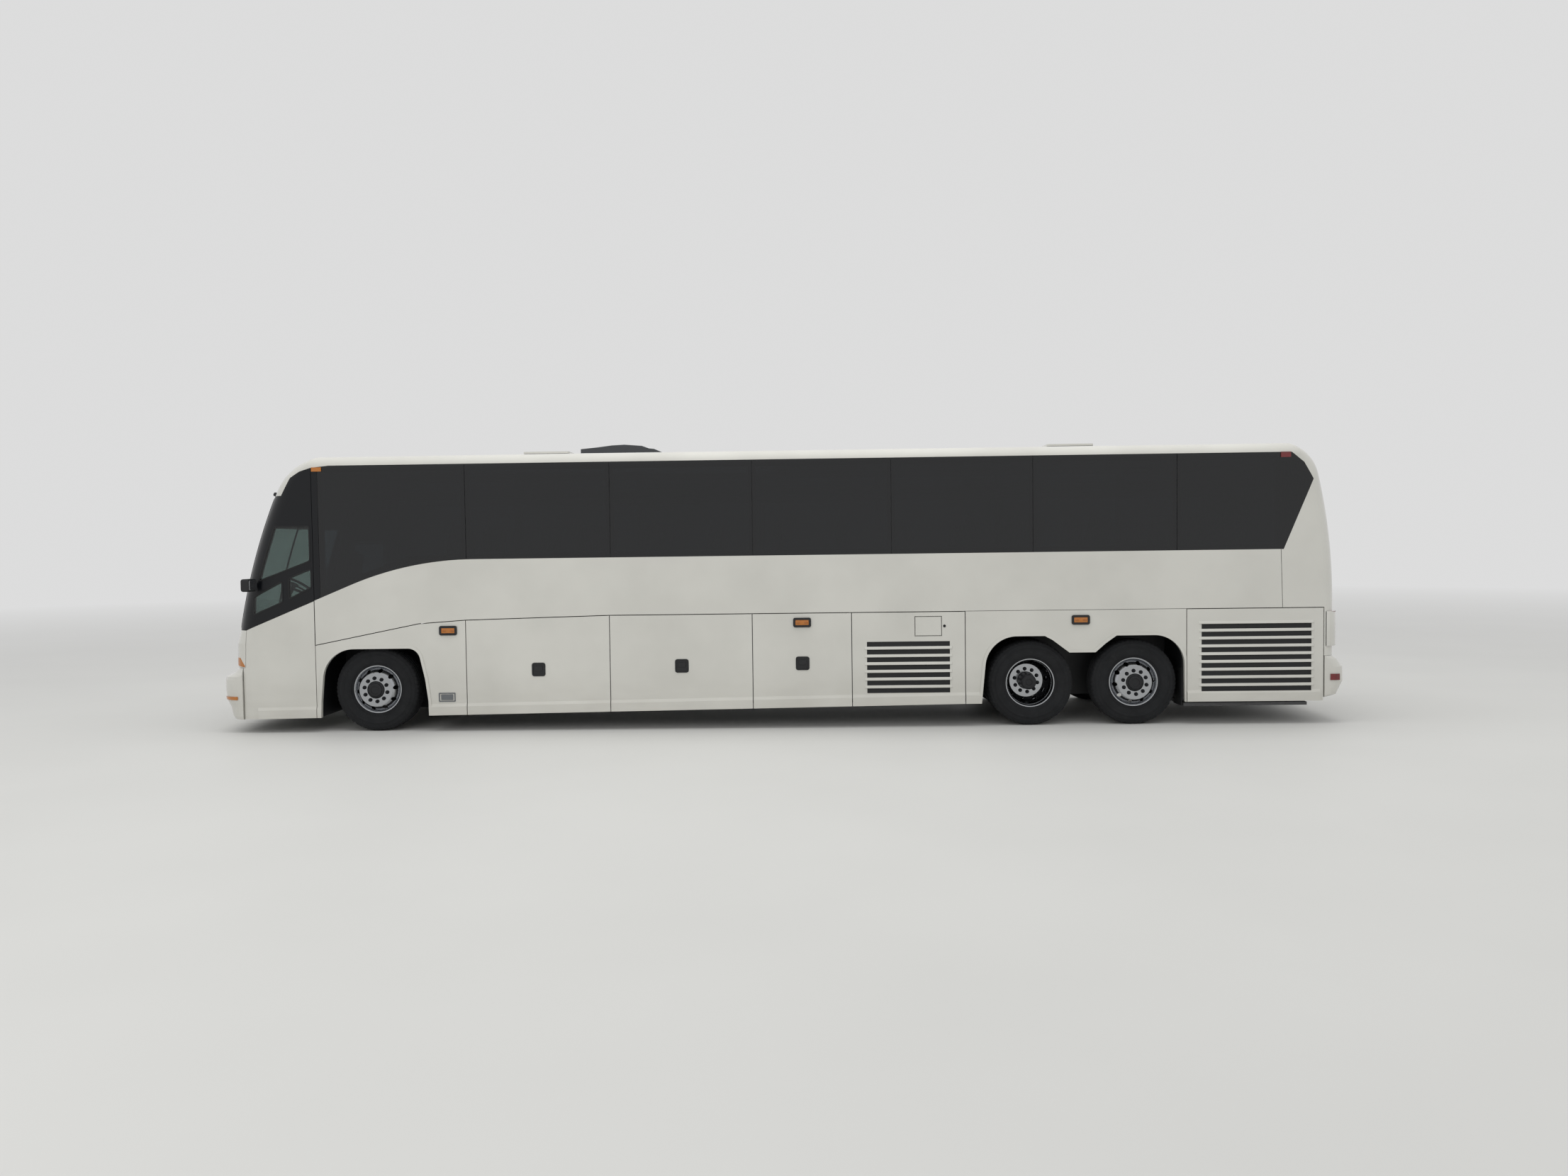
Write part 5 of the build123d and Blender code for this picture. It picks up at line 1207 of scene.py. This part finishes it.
# Cabin lining: ceiling panels that leave the hatches free, two rows of lights and an aisle runner
CEILING_Z = 3290
HATCH_MIDDLES = (1937, 8697)
ceiling, lights = [], []
for x in (400 + 700 * bay for bay in range(15)):
    for label, side in SIDES:
        ceiling.append(set_at(slab(690, 410, 12, 20, 4), spot(x, side * 545, CEILING_Z), DOWNWARD))
        lights.append(set_at(slab(560, 60, 14, 16, 6), spot(x, side * 545, CEILING_Z - 10), DOWNWARD))
    if all(abs(x - hatch) > 645 for hatch in HATCH_MIDDLES):
        ceiling.append(set_at(slab(690, 670, 12, 20, 4), spot(x, 0, CEILING_Z), DOWNWARD))
piece("ceiling_panels", joined(ceiling), LINING)
piece("ceiling_lights", joined(lights), PLATE)
piece("aisle_runner", set_at(slab(10800, 380, 4, 20, 1.5, low=0.3), spot(5450, 0, CABIN_FLOOR)), FLOOR_VINYL)

# Stage: pale grey floor, pale surroundings that the floor runs into, and soft light
BACKDROP = 0.72
SKY_LIGHT = 0.72
PALE = (1, 1, 1, 1)


def backdrop_rays(tree):
    """1 for the rays that show the background: camera, transmission and glossy ones, else 0."""
    path = add(tree, "ShaderNodeLightPath").outputs
    seen = path["Is Camera Ray"]
    for ray in ("Is Transmission Ray", "Is Glossy Ray"):
        seen = add(tree, "ShaderNodeMath", {0: seen, 1: path[ray]}, operation="MAXIMUM").outputs[0]
    return seen


def studio_floor():
    """Smooth painted floor that fades into the backdrop from 9 to 45 m out, for the rays that see it."""
    mat, tree, shader, place = surface("studio_floor", Roughness=0.6, IOR=1.45)
    feed(tree, shader, Base_Color=two_tone(tree, place, 2500, "#D2D2CF", "#CFCFCC"))
    far = add(tree, "ShaderNodeVectorMath", {0: place}, operation="LENGTH").outputs["Value"]
    fade = {0: blend(tree, far, 0.0, 1.0, 9.0, 45.0), 1: backdrop_rays(tree)}
    haze = add(tree, "ShaderNodeMath", fade, operation="MULTIPLY").outputs[0]
    pale = add(tree, "ShaderNodeEmission", {"Color": PALE, "Strength": BACKDROP}).outputs[0]
    mixed = add(tree, "ShaderNodeMixShader", {0: haze, 1: shader.outputs[0], 2: pale}).outputs[0]
    out = next(node for node in tree.nodes if node.type == "OUTPUT_MATERIAL")
    tree.links.new(mixed, out.inputs["Surface"])
    return mat


bpy.ops.mesh.primitive_plane_add(size=400, location=(0, 0, 0))
floor = bpy.context.object
floor.name = "studio_floor"
floor.data.materials.append(studio_floor())

world = bpy.data.worlds.new("studio")
bpy.context.scene.world = world
world.use_nodes = True
tree = world.node_tree
tree.nodes.clear()
strength = blend(tree, backdrop_rays(tree), SKY_LIGHT, BACKDROP)
sky = add(tree, "ShaderNodeBackground", {"Strength": strength, "Color": PALE})
add(tree, "ShaderNodeOutputWorld", {"Surface": sky.outputs[0]})


def softbox(name, location, target, width, height, power):
    """Soft rectangular lamp that faces its target and isn't itself mirrored in the glass."""
    lamp = bpy.data.lights.new(name, "AREA")
    lamp.shape = "RECTANGLE"
    lamp.size, lamp.size_y = width, height
    lamp.energy = power
    lamp.specular_factor = 0.15
    thing = bpy.data.objects.new(name, lamp)
    thing.location = location
    direction = np.array(target) - np.array(location)
    yaw = math.atan2(direction[0], -direction[1])
    pitch = math.atan2(math.hypot(direction[0], direction[1]), -direction[2])
    thing.rotation_euler = (pitch, 0, yaw + math.pi)
    thing.visible_glossy = False
    bpy.context.scene.collection.objects.link(thing)


softbox("overhead", (0, -2, 14), (0, 0, 1.5), 20, 10, 1100)
softbox("front_fill", (-5, -16, 7), (0, 0, 1.5), 10, 6, 260)

# Camera of the photograph: focal length and frame width in its pixels, place in metres, turns in radians
FOCAL_PX = 1597
PHOTO_W_PX = 2212
EYE = (0.461, -14.974, 2.244)
YAW = 0.0235
TILT = -0.0392
ROLL = 0.0128
camera = bpy.data.cameras.new("photo_camera")
camera.sensor_width = 36.0
camera.lens = FOCAL_PX / PHOTO_W_PX * camera.sensor_width
view = bpy.data.objects.new("photo_camera", camera)
facing = Matrix.Rotation(YAW, 4, "Z") @ Matrix.Rotation(TILT, 4, "X") @ Matrix.Rotation(ROLL, 4, "Y")
view.matrix_world = Matrix.Translation(EYE) @ facing @ Matrix.Rotation(math.pi / 2, 4, "X")
bpy.context.scene.collection.objects.link(view)
bpy.context.scene.camera = view
bpy.context.scene.view_settings.view_transform = "Standard"
